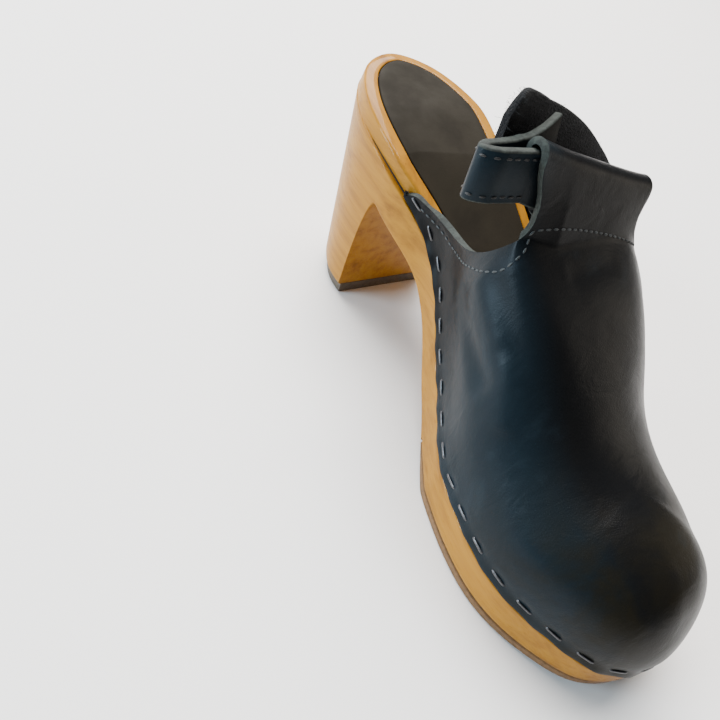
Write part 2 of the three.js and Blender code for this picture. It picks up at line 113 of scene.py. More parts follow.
# Middle line of the band behind the tab, from its stitched end to its free end
BAND = (
    (0.93, 1.54, -0.06), (0.75, 1.52, 0.08), (0.59, 1.45, 0.25), (0.25, 1.46, 0.55), (0, 1.54, 0.68),
    (-0.34, 1.7, 0.74), (-0.62, 1.86, 0.72), (-0.88, 1.9, 0.62), (-1.12, 1.75, 0.42),
)
# Soft folds worn into the leather: both ends in shoe places, depth inwards (below 0 a ridge), half width
Fold = namedtuple("Fold", "start end depth width")
FOLDS = (
    Fold((-29, 122, 66), (-37, 92, 60), 1.7, 4.6),
    Fold((-31, 118, 80), (-37, 98, 74), -1.1, 4.5),
    Fold((-30, 112, 84), (-33, 88, 74), 0.8, 4),
    Fold((-34, 92, 72), (-37, 78, 56), -0.8, 5),
    Fold((-24, 134, 60), (-33, 112, 52), 0.7, 4),
    Fold((-10, 104, 92), (12, 106, 92), 0.5, 4),
    Fold((30, 108, 82), (38, 86, 62), 0.8, 5),
)
# Row of stitches round the throat's medial notch and along the foot of the tab
THROAT_SEAM = (
    (-21, 161, 68.5), (-19, 151.6, 67.9), (-19.6, 142.7, 68.3), (-25, 132, 72.5), (-29.8, 123.9, 78.3),
    (-31.5, 117.6, 83.3), (-31.4, 113.9, 87.4), (-30.5, 112.7, 90.6), (-28.8, 112.5, 93.4),
    (-25.5, 114, 96.5), (-24.5, 115.9, 99.8), (-16.7, 115.2, 101), (-5.9, 114.7, 99.9), (11.6, 113.7, 96.3),
    (22.7, 113, 93), (31, 113, 90),
)
# Row of stitches along the lateral wing's top edge
LATERAL_SEAM = (
    (38, 112.5, 79), (41, 118, 74), (41.5, 128, 68), (39.5, 142, 64.5), (33, 156, 65), (29.5, 162, 66.5),
)
# Rows of the tab from its foot (1) to its fold (0), and down its back to past the stitched end
TAB_ROWS = (0.975, 0.94, 0.9, 0.85, 0.79, 0.72, 0.63, 0.53, 0.42, 0.3, 0.2, 0.1, 0)
FLAP_ROWS = (*np.linspace(0.1, 0.84, 8), *np.linspace(0.88, 1.1, 9))
# Relaxing of the upper: rounds, and the stations and heights over which it fades in or out
INNER_ROUNDS = 26
BORDER_ROUNDS = 130
NOTCH_START = (112, 117)
NOTCH_END = (150, 160)
NOTCH_TOP = (96, 101)
FLAP_FLOOR = 89
FLAP_HALF_WIDTH = 28.4
TAB_RISE = (88, 97)
# Reach of the bell curves at the staples and between them, along the edge and across it
DENT_REACH = (3.6, 2.4)
BULGE_REACH = (3.4, 2.6)
# Middle line of a staple from leg to leg: along and up; then half the wire's width and height
STAPLE_LINE = (
    (-2.9, -1.4), (-2.9, -0.3), (-2.7, 0.15), (-2.1, 0.33), (0, 0.36),
    (2.1, 0.33), (2.7, 0.15), (2.9, -0.3), (2.9, -1.4),
)
STAPLE_WIRE = (0.55, 0.34)
# Halvings when a turn is searched, and the distance in metres under which points of a mesh are joined
HALVINGS = 34
WELD = 2e-6
# Camera of the photograph's view: where it stands by the shoe, its angles and its focal length in pixels
CAMERA_PLACE = (-163.7, 31.4, 196.0)
CAMERA_AZIMUTH = -49.10
CAMERA_ELEVATION = 48.16
CAMERA_ROLL = 27.37
FOCAL_PIXELS = 618.7
FRAME_PIXELS = 720
SENSOR_WIDTH = 36.0
# The stage: half width and colour of the floor, and the background's strength for the shoe and the camera
FLOOR_HALF = 6.0
FLOOR_COLOUR = (0.86, 0.84, 0.82)
SKY_COLOUR = (0.95, 0.96, 1)
SKY_FOR_SHOE = 0.14
SKY_FOR_CAMERA = 2.2


def length(name, value, description):
    """A size property in metres, given in millimetres: the number times a thousandth."""
    return bpy.props.FloatProperty(name=name, description=description, default=value * MM, unit="LENGTH")


def tone(name, colour, description):
    """A colour property."""
    return bpy.props.FloatVectorProperty(
        name=name, description=description, default=colour, size=3, min=0, max=1, subtype="COLOR"
    )


class ClogSizes(bpy.types.PropertyGroup):
    """Sizes that shape the clog."""

    sole_length: length("Sole length", (WOOD_HIGH[1] - WOOD_LOW[1]) / MM, "Toe tip to heel back")
    ball_width: length("Ball width", 86, "Reference width of the sole at the ball")
    ball_height: length("Ball height", 25, "Height of the rim at the ball")
    heel_height: length("Heel height", 86, "Height of the rim at the heel")
    arch_height: length("Arch height", 55, "Height of the underside at the heel's breast")
    toe_spring: length("Toe spring", 6, "Lift of the toe tip off the floor")
    rim_width: length("Rim width", 5.5, "Width of the wood left round the sock")
    breast_station: length("Heel breast", 180, "Station where the heel begins")
    leather: length("Leather thickness", 2.2, "Thickness of the upper's wall")
    seat_drop: length("Rebate depth", 6.5, "Depth of the rebate below the rim")
    instep_height: length("Instep height", 95.5, "Height of the upper at the throat")
    throat_station: length("Throat", 112, "Station of the tab's foot")
    wing_tip: length("Wing tip", 169, "Station where the side wings end")
    strap_width: length("Strap width", 15.5, "Width of the heel strap")
    strap_thickness: length("Strap thickness", 3, "Thickness of the heel strap")
    band_width: length("Band width", 22, "Width of the band behind the tab")
    band_thickness: length("Band thickness", 2.4, "Thickness of the band behind the tab")
    staple_pitch: length("Staple pitch", 11, "Distance from staple to staple")
    stitch_pitch: length("Stitch pitch", 2.9, "Distance from stitch to stitch")


class ClogColours(bpy.types.PropertyGroup):
    """Colours of the clog's materials."""

    wood_light: tone("Light wood", (0.33, 0.145, 0.01), "Wood between the grain lines")
    wood_dark: tone("Dark wood", (0.17, 0.062, 0.004), "Grain lines of the wood")
    leather: tone("Leather", (0.0036, 0.0038, 0.0042), "Oiled black leather")
    # Painted light: a blue-green tint that paints cool light on the leather's medial side
    leather_painted_cool_light: tone("Leather, cool", (0.005, 0.01, 0.014), "Blue-green cast of the leather's side")
    # Painted light: a brown tint that paints a sheen on the leather's toe
    leather_painted_warm_sheen: tone("Leather, warm", (0.008, 0.0065, 0.0035), "Brown cast of the leather's toe")
    cut_edge: tone("Cut edge", (0.03, 0.036, 0.031), "Raw cut edge of the leather")
    sock: tone("Sock", (0.017, 0.0135, 0.0085), "Leather sock on the wood")
    tread: tone("Tread", (0.17, 0.085, 0.03), "Rubber under the forefoot")
    lift: tone("Lift", (0.09, 0.07, 0.05), "Rubber under the heel")
    band: tone("Band", (0.003, 0.003, 0.0035), "Hook-and-loop band")
    thread: tone("Thread", (0.022, 0.028, 0.03), "Sewing thread")
    steel: tone("Staples", (0.1, 0.1, 0.105), "Dark wire of the staples")
    # Painted shade: the colour of the dark tubes that stand for the shadow in the slits
    slit: tone("Slit", (0.02, 0.011, 0.005), "Shade in the slit where the rebate runs out")


def sizes():
    """The sizes as plain millimetres, with the fits that follow from them."""
    group = bpy.context.scene.clog_sizes
    size = SimpleNamespace(**{name: getattr(group, name) / MM for name in ClogSizes.__annotations__})
    # Gap between fitted pieces, and the layers on and under the wood
    size.fit_gap = 0.3
    size.sock_thickness = 1.8
    size.tread_thickness = 3.5
    size.tread_end = 100
    size.lift_thickness = 5
    # The heel's breast, back and sides, and the round of the sole's lower edge
    size.breast_run = 6
    size.heel_back_slant = 17
    size.heel_side_taper = 4.5
    size.edge_round = 1.6
    # The leather's lower edge: how far it stands out, its staples and their dents
    size.leather_proud = 0.3
    size.staple_height = 3.6
    size.staple_dent = 0.6
    size.edge_bulge = 0.5
    # Small rounds and steps of the wood, the sock and the lift
    size.recess_round = 0.5
    size.rim_round = 1.2
    size.rebate_corner = 0.4
    size.seat_round = 0.5
    size.side_start = 0.6
    size.sock_round = 0.5
    size.sock_proud = 0.2
    size.lift_round = 0.6
    # Where the rebate runs out, the toe box, and the waist of the tab and of its back flap
    size.seat_run_out = 40
    size.toe_box_station = 46
    size.toe_blend = 8
    size.waist = {"medial": 4.6, "lateral": 4.2}
    size.flap_waist = 2.5
    # The dark tubes of painted shade in the slits behind the wings
    size.slit_run = 24
    size.slit_radius = 0.42
    # The throat, the wings' ends and the ridge line
    size.throat_lag = {"medial": 5.5, "lateral": 2}
    size.wing_tip_round = 5
    size.ridge_shift = 14
    # The tab: its half widths, its lean, its fold's height and that fold's fall across it
    size.tab_medial = 29.5
    size.tab_lateral = 32
    size.tab_run = 9.5
    size.fold_height = 113.9
    size.fold_tilt = 0.235
    # The strap's place in the tunnel, and the band's rounded end
    size.strap_rise = 0.95
    size.band_end_round = 9
    # The tunnel behind the tab and the layers that lie in it
    size.tunnel_depth = size.strap_thickness + 4 * size.fit_gap
    size.fold_radius = size.leather + size.tunnel_depth / 2
    size.stitched_depth = 2 * size.leather + size.fit_gap
    size.layer_step = size.strap_thickness + size.leather + 5 * size.fit_gap
    return size


# Curves and the sole's outline

def ramp(value, low, high):
    """Smooth step from 0 at low to 1 at high."""
    t = np.clip((value - low) / (high - low), 0, 1)
    return t * t * (3 - 2 * t)


def table_curve(table, column, unit):
    """Cubic pieces through one column; the slope at a row is the harmonic mean of the slopes beside it."""
    at = np.array(table["station"], float) * unit
    value = np.array(table[column], float)
    slope = np.diff(value) / np.diff(at)
    before = np.concatenate([slope[:1], slope])
    after = np.concatenate([slope, slope[-1:]])
    same_way = before * after > 0
    tangent = np.where(same_way, 2 * before * after / np.where(same_way, before + after, 1), 0)

    def curve(station):
        """The cubic with these values and slopes at both ends of the station's span."""
        s = np.clip(station, at[0], at[-1])
        k = np.clip(np.searchsorted(at, s, side="right") - 1, 0, len(at) - 2)
        span = at[k + 1] - at[k]
        t = (s - at[k]) / span
        rest = 1 - t
        start = (1 + 2 * t) * rest**2 * value[k] + t * rest**2 * span * tangent[k]
        return start + t**2 * (3 - 2 * t) * value[k + 1] - t**2 * rest * span * tangent[k + 1]

    return curve


def smooth_line(points, steps, closed=False):
    """Centripetal curve through points: each piece is the cubic whose end slopes blend its neighbours."""
    points = np.array(points, float)
    if closed:
        padded = np.concatenate([points[-1:], points, points[:2]])
    else:
        padded = np.concatenate([[2 * points[0] - points[1]], points, [2 * points[-1] - points[-2]]])
    p0, p1, p2, p3 = (padded[i:len(padded) - 3 + i, None, :] for i in range(4))
    spans = ((p0, p1), (p1, p2), (p2, p3))
    d0, d1, d2 = (np.linalg.norm(b - a, axis=2, keepdims=True) ** 0.5 for a, b in spans)
    slope1 = ((p1 - p0) / d0 - (p2 - p0) / (d0 + d1) + (p2 - p1) / d1) * d1
    slope2 = ((p2 - p1) / d1 - (p3 - p1) / (d1 + d2) + (p3 - p2) / d2) * d1
    t = (np.arange(steps) / steps)[None, :, None]
    curve = (
        (2 * t**3 - 3 * t**2 + 1) * p1 + (t**3 - 2 * t**2 + t) * slope1
        + (3 * t**2 - 2 * t**3) * p2 + (t**3 - t**2) * slope2
    ).reshape(-1, points.shape[1])
    return np.concatenate([curve, curve[:1] if closed else points[-1:]])


def even_places(line, count):
    """count points at even distances along a polyline, their directions and the polyline's length."""
    step = np.linalg.norm(np.diff(line, axis=0), axis=1)
    run = np.concatenate([[0], np.cumsum(step)])
    goal = np.linspace(0, run[-1], count)
    place = np.stack([np.interp(goal, run, line[:, k]) for k in range(line.shape[1])], axis=1)
    along = np.gradient(place, axis=0)
    return place, along / np.linalg.norm(along, axis=1, keepdims=True), run[-1]


# Points of the outline: station and x, and the direction (in_x, in_s) that points inwards.
# side is a name for one side, or an array of -1 and 1 for a loop round both.
Edge = namedtuple("Edge", "side station x in_x in_s")


class Last:
    """The shoe's forms as functions of station: outline, rim, underside and the upper's outer face."""

    def __init__(self, size):
        """Trace the outline as one closed curve, split it at toe and heel, and read the other tables."""
        self.size = size
        long = size.sole_length
        station = np.array(OUTLINE["station"]) * long
        lateral = np.stack([np.array(OUTLINE["lateral"]) * size.ball_width, station], axis=1)
        medial = np.stack([-np.array(OUTLINE["medial"]) * size.ball_width, station], axis=1)[::-1]
        corners = np.concatenate([[(TOE_TIP_SHARE * size.ball_width, 0)], lateral, [(0, long)], medial])
        loop = smooth_line(corners, 400, closed=True)
        along = np.gradient(loop, axis=0)
        along /= np.linalg.norm(along, axis=1, keepdims=True)
        heel = (len(lateral) + 1) * 400
        self.outline = {
            "lateral": (loop[:heel + 1], along[:heel + 1]),
            "medial": (loop[heel:][::-1], along[heel:][::-1]),
        }
        self.rim_share = table_curve(RIM, "rise", long)
        self.arch_share = table_curve(ARCH, "rise", long)
        self.shoulder_share = table_curve(SHOULDER, "inset", long)
        self.crown_share = table_curve(CROWN, "rise", long)
        self.wing_share = {side: table_curve(WING, side, long) for side in SIDES}
        self.section = {name: table_curve(SECTION, name, long) for name in SECTION if name != "station"}
        self.foot_x = np.linspace(-size.tab_medial, size.tab_lateral, 160)
        self.throat = {side: self.throat_edge(side) for side in SIDES}
        self.foot_place = np.array([self.tab_foot_at(x) for x in self.foot_x])
        widest = self.outline["lateral"][0][:, 0].max()
        self.shift = np.array([WOOD_HIGH[0] / MM - widest, WOOD_LOW[1] / MM, 0])

    def edge(self, side, station):
        """Outline point of a side at each station, with the direction that points inwards."""
        station = np.asarray(station, float)
        points, along = self.outline[side]
        x = np.interp(station, points[:, 1], points[:, 0])
        along_x = np.interp(station, points[:, 1], along[:, 0])
        along_y = np.interp(station, points[:, 1], along[:, 1])
        step = np.hypot(along_x, along_y)
        tip = (station <= 0) | (station >= self.size.sole_length)
        in_x = np.where(tip, 0, -along_y / step)
        in_s = np.where(tip, np.sign(self.size.sole_length / 2 - station), along_x / step)
        return Edge(side, station, x, in_x, in_s)

    def loop(self, station):
        """Edge points up the medial side and back down the lateral side, as one array each."""
        medial = self.edge("medial", station)
        lateral = self.edge("lateral", station)
        joined = [np.concatenate([out, back[::-1]]) for out, back in zip(medial[1:], lateral[1:])]
        sign = np.concatenate([-np.ones(len(station)), np.ones(len(station))])
        return Edge(sign, *joined)

    def rim(self, station):
        """Height of the wood's rim: the ball's height plus a share of the rise to the heel."""
        size = self.size
        return size.ball_height + (size.heel_height - size.ball_height) * self.rim_share(station)

    def seat(self, station):
        """Height of the rebate's seat: one rebate depth below the rim."""
        return self.rim(station) - self.size.seat_drop

    def shoulder(self, station):
        """Distance from the outline in to the rim's outer edge: a share of the rim's width."""
        return self.shoulder_share(station) * self.size.rim_width

    def seat_inset(self, station):
        """Depth of the rebate: wall and gaps, faded to a tenth behind the wings."""
        size = self.size
        full = size.leather + 1.5 * size.fit_gap - size.leather_proud
        return full * (1 - 0.9 * ramp(station, size.wing_tip, size.wing_tip + size.seat_run_out))

    def underside(self, station):
        """Toe spring, a flat under the ball, the arch's rise and the heel's breast as a quarter ellipse."""
        size = self.size
        flat_from = FLAT_START * size.sole_length
        toe = size.toe_spring * (1 - np.clip(station / flat_from, 0, 1)) ** 2
        along = np.clip((station - size.breast_station) / size.breast_run, 0, 1)
        breast = size.arch_height * np.sqrt(1 - along**2)
        arch = size.arch_height * self.arch_share(station)
        return np.where(station < flat_from, toe, np.where(station <= size.breast_station, arch, breast))

    def tread(self, station):
        """Thickness of the tread, thinned to three tenths at its end."""
        size = self.size
        return size.tread_thickness * (1 - 0.7 * ramp(station, size.tread_end - 14, size.tread_end))

    def wood_underside(self, station):
        """The underside, raised by the tread in front and by the lift under the heel."""
        size = self.size
        below = self.underside(station)
        over_tread = below + self.tread(station) + size.fit_gap
        over_lift = np.maximum(below, size.lift_thickness + size.fit_gap)
        behind = np.where(station > size.breast_station, over_lift, below)
        return np.where(station < size.tread_end + 3 * size.fit_gap, over_tread, behind)

    def inwards(self, edge, inset, z):
        """Places in from the edge by an inset along its inward direction, at a height."""
        x = edge.x + edge.in_x * inset
        return np.stack([x, edge.station + edge.in_s * inset, np.broadcast_to(z, x.shape)], axis=-1)

    def flank(self, edge, z, inset=0):
        """Side of the sole: the heel narrows and slants in towards the floor."""
        size = self.size
        seat = self.seat(edge.station)
        depth = np.clip((seat - z) / seat, 0, 1)
        heel = ramp(edge.station, size.breast_station - 20, size.breast_station)
        heel_run = size.sole_length - size.breast_station
        behind = np.clip((edge.station - size.breast_station) / heel_run, 0, 1)
        place = self.inwards(edge, inset, z)
        place[..., 0] -= edge.side * size.heel_side_taper * depth * heel * np.sqrt(1 - behind**2)
        place[..., 1] -= size.heel_back_slant * depth * behind
        return place

    def ridge_x(self, station):
        """The ridge line leans to the big-toe side on its way to the throat, as a smooth step."""
        return -self.size.ridge_shift * ramp(station, 0, self.size.throat_station)

    def leather_edge(self, station):
        """Height of the upper's lower edge: three fit gaps above the seat."""
        return self.seat(station) + 3 * self.size.fit_gap

    def wall(self, edge, ridge, turn):
        """Outer face of the upper: a superellipse from the lower edge (turn 0) to the ridge (turn 1)."""
        size = self.size
        power = self.roundness(edge)
        out = self.section[f"{edge.side}_out"](edge.station) * size.ball_width
        angle = turn * math.pi / 2
        across = np.clip(np.cos(angle), 0, 1)
        up = np.clip(np.sin(angle), 0, 1)
        radius = (across**power + up**power) ** (-1 / power)
        reach = across * radius
        rise = up * radius
        foot = self.inwards(edge, -size.leather_proud, 0)
        bulge = SIDES[edge.side] * out * ramp(rise, 0.1, 0.6)
        ridge_x = self.ridge_x(ridge)
        x = ridge_x + (foot[..., 0] + bulge - ridge_x) * reach
        station = ridge + (foot[..., 1] - ridge) * reach
        low = self.leather_edge(edge.station)
        z = low + (size.instep_height * self.crown_share(station) - low) * rise
        return np.stack([x, station, z], axis=-1)

    def roundness(self, edge):
        """A side's own roundness, which both sides share at the toe tip."""
        both = {side: self.section[f"{side}_round"](edge.station) for side in SIDES}
        own = both[edge.side]
        shared = (both["medial"] + both["lateral"]) / 2
        return shared + (own - shared) * ramp(edge.station, 0, self.size.toe_blend)

    def turn_where(self, edge, ridge, measure, goal):
        """The turn at which a rising measure of the wall reaches its goal, by halving."""
        low = np.zeros(np.shape(goal))
        high = np.ones(np.shape(goal))
        for _ in range(HALVINGS):
            middle = (low + high) / 2
            short = measure(self.wall(edge, ridge, middle)) < goal
            low = np.where(short, middle, low)
            high = np.where(short, high, middle)
        return (low + high) / 2

    def throat_edge(self, side):
        """The outline point where a side's wall meets the tab's foot."""
        return self.edge(side, np.float64(self.size.throat_station + self.size.throat_lag[side]))

    def turn_at_x(self, side, x):
        """The turn at which the wall over the throat has this x."""
        sign = SIDES[side]
        edge = self.throat[side]
        goal = np.asarray(x * -sign)
        return self.turn_where(edge, self.size.throat_station, lambda p: p[..., 0] * -sign, goal)

    def tab_foot_at(self, x):
        """The place on the wall over the throat at this x."""
        side = "medial" if x < self.ridge_x(self.size.throat_station) else "lateral"
        return self.wall(self.throat[side], self.size.throat_station, self.turn_at_x(side, x))

    def tab_foot(self, x):
        """The tab's foot at any x, read between the places worked out once."""
        return np.stack([np.interp(x, self.foot_x, self.foot_place[:, k]) for k in range(3)], axis=-1)

    def by_tab(self, x, down, behind):
        """A place down from the start of the tab's fold, and behind the tab's outer face."""
        size = self.size
        over = np.clip(x, -size.tab_medial, size.tab_lateral)
        top = np.stack([over, over * 0 + size.throat_station + size.tab_run,
                        size.fold_height - size.fold_tilt * over], axis=-1)
        slope = top - self.tab_foot(over)
        slope /= np.linalg.norm(slope, axis=-1, keepdims=True)
        place = top - slope * np.asarray(down)[..., None]
        s = place[..., 1] + slope[..., 2] * behind
        z = place[..., 2] - slope[..., 1] * behind
        return np.stack([x + 0 * s, s, z], axis=-1)

    def tab_length(self, x):
        """Distance from the start of the tab's fold down to its foot."""
        return np.linalg.norm(self.by_tab(x, 0 * x, 0 * x) - self.tab_foot(x), axis=-1)

    def waisted(self, x, t, share):
        """Distance across the tab drawn in at its waist; t is 0 at the fold and 1 at the foot."""
        size = self.size
        medial = size.waist["medial"] / size.tab_medial
        lateral = size.waist["lateral"] / size.tab_lateral
        drawn_in = np.where(x < 0, medial, lateral)
        return x * (1 - drawn_in * share * ramp(t, 0, 0.6))

    def metres(self, places):
        """Shoe places in millimetres, moved into the frame and made metres."""
        return (np.asarray(places) + self.shift) * MM


# Meshes

def grid_faces(rows, columns, closed=False, start=0):
    """Quads of a grid of rows by columns, wrapped round when closed."""
    i, j = np.meshgrid(np.arange(rows - 1), np.arange(columns if closed else columns - 1), indexing="ij")
    nxt = (j + 1) % columns
    row = i * columns
    below = row + columns
    return np.stack([row + j, below + j, below + nxt, row + nxt], axis=-1).reshape(-1, 4) + start


def tube_faces(rows, around):
    """Quads of a closed tube, and the two faces that close its ends."""
    ends = [list(range(around))[::-1], list(range((rows - 1) * around, rows * around))]
    return [list(face) for face in grid_faces(rows, around, closed=True)] + ends


def add_piece(name, places, faces, materials, indices=None, merge=None, sharp=35):
    """A mesh object at the origin, riding the clog, with smooth faces and sharp edges past an angle."""
    mesh = bpy.data.meshes.new(name)
    mesh.from_pydata(np.asarray(places).tolist(), [], [list(map(int, face)) for face in faces])
    for entry in materials:
        mesh.materials.append(entry)
    if indices is not None:
        mesh.polygons.foreach_set("material_index", np.asarray(indices, np.int32))
    piece = bpy.data.objects.new(name, mesh)
    bpy.context.scene.collection.objects.link(piece)
    if merge is not None:
        merge_doubles(mesh, merge)
    mesh.polygons.foreach_set("use_smooth", np.ones(len(mesh.polygons), bool))
    mark_sharp(mesh, math.radians(sharp))
    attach(piece, "root")
    return piece


def merge_doubles(mesh, distance):
    """Join points nearer than the distance, and drop what has shrunk to nothing."""
    work = bmesh.new()
    work.from_mesh(mesh)
    bmesh.ops.remove_doubles(work, verts=work.verts, dist=distance)
    bmesh.ops.dissolve_degenerate(work, edges=work.edges, dist=1e-7)
    work.to_mesh(mesh)
    work.free()


def mark_sharp(mesh, limit):
    """Mark each edge whose two faces meet at more than the limit."""
    work = bmesh.new()
    work.from_mesh(mesh)
    for edge in work.edges:
        edge.smooth = not (len(edge.link_faces) == 2 and edge.calc_face_angle(0) > limit)
    work.to_mesh(mesh)
    work.free()


def stacked(last, rings):
    """Closed body from loops stacked top to bottom, its two ends closed by strips from side to side."""
    grid = np.stack(rings)
    count, around = grid.shape[:2]
    i = np.arange(around // 2 - 1)
    mate = around - 1 - i
    top = np.stack([i, i + 1, mate - 1, mate], axis=1)
    bottom = top[:, [0, 3, 2, 1]] + (count - 1) * around
    faces = np.concatenate([grid_faces(count, around, closed=True), top, bottom])
    return last.metres(grid.reshape(-1, 3)), faces


def round_stations(size, low, high, count):
    """Stations that crowd towards both ends of the sole, as points of a circle do seen from the side."""
    turn = [math.acos(1 - 2 * station / size.sole_length) for station in (low, high)]
    return size.sole_length * (1 - np.cos(np.linspace(turn[0], turn[1], count + 1))) / 2


def arc_rings(count):
    """(inset share, height share) along a quarter round, from the side to the face."""
    angle = np.linspace(0, math.pi / 2, count)
    return list(zip(1 - np.cos(angle), np.sin(angle)))


# Materials

class Finish:
    """A material under construction: short calls for its nodes."""

    def __init__(self, name):
        """A fresh node tree: a shader, its output and the object's coordinates."""
        self.material = bpy.data.materials.get(name) or bpy.data.materials.new(name)
        self.material.use_nodes = True
        self.tree = self.material.node_tree
        self.tree.nodes.clear()
        self.shader = self.node("ShaderNodeBsdfPrincipled")
        output = self.node("ShaderNodeOutputMaterial")
        self.join(self.shader.outputs["BSDF"], output.inputs["Surface"])
        self.place = self.node("ShaderNodeTexCoord").outputs["Object"]
        self.height = None

    def node(self, kind, **values):
        """Add a node and set its attributes."""
        made = self.tree.nodes.new(kind)
        for key, value in values.items():
            setattr(made, key, value)
        return made

    def join(self, source, target):
        """Link two sockets."""
        self.tree.links.new(source, target)

    def set(self, **values):
        """Give the shader's sockets constant values; a tuple is a colour."""
        for key, value in values.items():
            socket = self.shader.inputs[key.replace("_", " ")]
            socket.default_value = (*value, 1) if isinstance(value, tuple) else value

    def stretched(self, scale, turn=(0, 0, 0)):
        """Object coordinates, scaled and turned."""
        mapping = self.node("ShaderNodeMapping")
        mapping.inputs["Scale"].default_value = scale
        mapping.inputs["Rotation"].default_value = turn
        self.join(self.place, mapping.inputs["Vector"])
        return mapping.outputs["Vector"]

    def noise(self, scale, detail=4.0, roughness=0.55, at=None, distortion=0.0):
        """Fractal noise, at a scale per metre."""
        made = self.node("ShaderNodeTexNoise")
        made.inputs["Scale"].default_value = scale
        made.inputs["Detail"].default_value = detail
        made.inputs["Roughness"].default_value = roughness
        made.inputs["Distortion"].default_value = distortion
        self.join(at or self.place, made.inputs["Vector"])
        return made.outputs["Fac"]

    def cells(self, scale, feature="DISTANCE_TO_EDGE", at=None):
        """Distance to the edges or centres of random cells."""
        made = self.node("ShaderNodeTexVoronoi", feature=feature)
        made.inputs["Scale"].default_value = scale
        self.join(at or self.place, made.inputs["Vector"])
        return made.outputs["Distance"]

    def span(self, value, low, high, to_low=0.0, to_high=1.0):
        """Smooth step of a value from low to high."""
        made = self.node("ShaderNodeMapRange", interpolation_type="SMOOTHSTEP")
        for key, number in (("From Min", low), ("From Max", high), ("To Min", to_low), ("To Max", to_high)):
            made.inputs[key].default_value = number
        self.join(value, made.inputs["Value"])
        return made.outputs["Result"]

    def axis(self, name):
        """One of the object's coordinates."""
        made = self.node("ShaderNodeSeparateXYZ")
        self.join(self.place, made.inputs["Vector"])
        return made.outputs[name]

    def maths(self, operation, first, second):
        """A sum or product of two numbers or sockets."""
        made = self.node("ShaderNodeMath", operation=operation)
        for index, value in enumerate((first, second)):
            if isinstance(value, (int, float)):
                made.inputs[index].default_value = value
            else:
                self.join(value, made.inputs[index])
        return made.outputs["Value"]

    def mix(self, share, first, second):
        """A colour between two colours or sockets, by a share."""
        made = self.node("ShaderNodeMix", data_type="RGBA")
        sockets = [s for s in made.inputs if s.type == "RGBA"]
        self.join(share, made.inputs["Factor"])
        for socket, value in zip(sockets, (first, second)):
            if isinstance(value, tuple):
                socket.default_value = (*value, 1)
            else:
                self.join(value, socket)
        return next(s for s in made.outputs if s.type == "RGBA")

    def colour(self, value):
        """Join a socket to the shader's base colour."""
        self.join(value, self.shader.inputs["Base Color"])

    def rough(self, value):
        """Join a socket to the shader's roughness."""
        self.join(value, self.shader.inputs["Roughness"])

    def bump(self, height, distance, strength=1.0):
        """A bump in metres, laid over the bumps before it."""
        made = self.node("ShaderNodeBump")
        made.inputs["Distance"].default_value = distance
        made.inputs["Strength"].default_value = strength
        self.join(height, made.inputs["Height"])
        if self.height is not None:
            self.join(self.height, made.inputs["Normal"])
        self.height = made.outputs["Normal"]
        self.join(self.height, self.shader.inputs["Normal"])


def colours():
    """The colours as plain tuples."""
    group = bpy.context.scene.clog_colours
    return SimpleNamespace(**{name: tuple(getattr(group, name)) for name in ClogColours.__annotations__})


def shade(colour, share, lift=0.0):
    """A colour times a share, plus a little, and at most 1."""
    return tuple(min(1.0, value * share + lift) for value in colour)


def varnished_wood():
    """Honey wood: long grain streaks and fine pores under a clear varnish."""
    tones = colours()
    made = Finish("varnished_wood")
    slope = (math.radians(-30), 0, 0)
    streak = made.noise(1.0, 5, 0.6, made.stretched((270, 8, 270), slope), 0.4)
    broad = made.noise(1.0, 2, 0.5, made.stretched((60, 5, 60), slope))
    pores = made.noise(1.0, 3, 0.6, made.stretched((1400, 90, 1400), slope))
    base = made.mix(made.span(streak, 0.32, 0.85), tones.wood_light, tones.wood_dark)
    base = made.mix(made.span(broad, 0.4, 0.75, 0, 0.4), base, shade(tones.wood_light, 1.18))
    made.colour(made.mix(made.span(pores, 0.58, 0.78, 0, 0.4), base, shade(tones.wood_dark, 0.62)))
    made.rough(made.span(pores, 0.3, 0.7, 0.5, 0.62))
    made.set(Coat_Weight=0.2, Coat_Roughness=0.05, Coat_IOR=1.5, Specular_IOR_Level=0.08)
    made.bump(streak, 0.00012)
    made.bump(pores, 0.00004)
    return made.material


def oiled_leather():
    """Black leather: pebbled grain, pull-up clouds, a painted cool light on the medial side and a painted
    warm sheen at the toe.
    """
    tones = colours()
    made = Finish("oiled_leather")
    clouds = made.noise(38, 4, 0.6, distortion=0.4)
    grain = made.cells(1250, at=made.stretched((1, 0.85, 1)))
    fine = made.noise(2600, 3, 0.6)
    folds = made.noise(1.0, 3, 0.5, made.stretched((70, 150, 70), (0.2, 0.4, 0.5)), 0.8)
    # Painted light: the leather turns blue-green towards the medial side, a painted cool light
    side = made.span(made.axis("X"), -0.02, -0.038)
    cool = made.mix(side, tones.leather, tones.leather_painted_cool_light)
    # Painted light: a brown painted sheen towards the toe, in clouds
    toe = made.maths("MULTIPLY", made.span(made.axis("Y"), -0.04, -0.105), made.span(clouds, 0.3, 0.62))
    base = made.mix(toe, cool, tones.leather_painted_warm_sheen)
    worn = shade(tones.leather_painted_cool_light, 1.9, 0.004)
    made.colour(made.mix(made.span(clouds, 0.56, 0.78, 0, 0.4), base, worn))
    made.rough(made.span(clouds, 0.3, 0.7, 0.32, 0.43))
    made.set(Specular_IOR_Level=0.09)
    made.bump(folds, 0.0005, 0.5)
    made.bump(grain, 0.00007, 0.6)
    made.bump(fine, 0.00003, 0.6)
    return made.material


def cut_leather():
    """Raw cut edge of the leather: matt, fibrous, grey-green with black dye rubbed in."""
    tones = colours()
    made = Finish("cut_leather")
    fibres = made.noise(900, 5, 0.7)
    dye = made.noise(120, 3, 0.6)
    base = made.mix(made.span(fibres, 0.35, 0.7), tones.cut_edge, shade(tones.cut_edge, 0.45))
    made.colour(made.mix(made.span(dye, 0.5, 0.68, 0, 0.7), base, tones.leather))
    made.set(Roughness=0.85, Specular_IOR_Level=0.3)
    made.bump(fibres, 0.0002, 0.8)
    return made.material


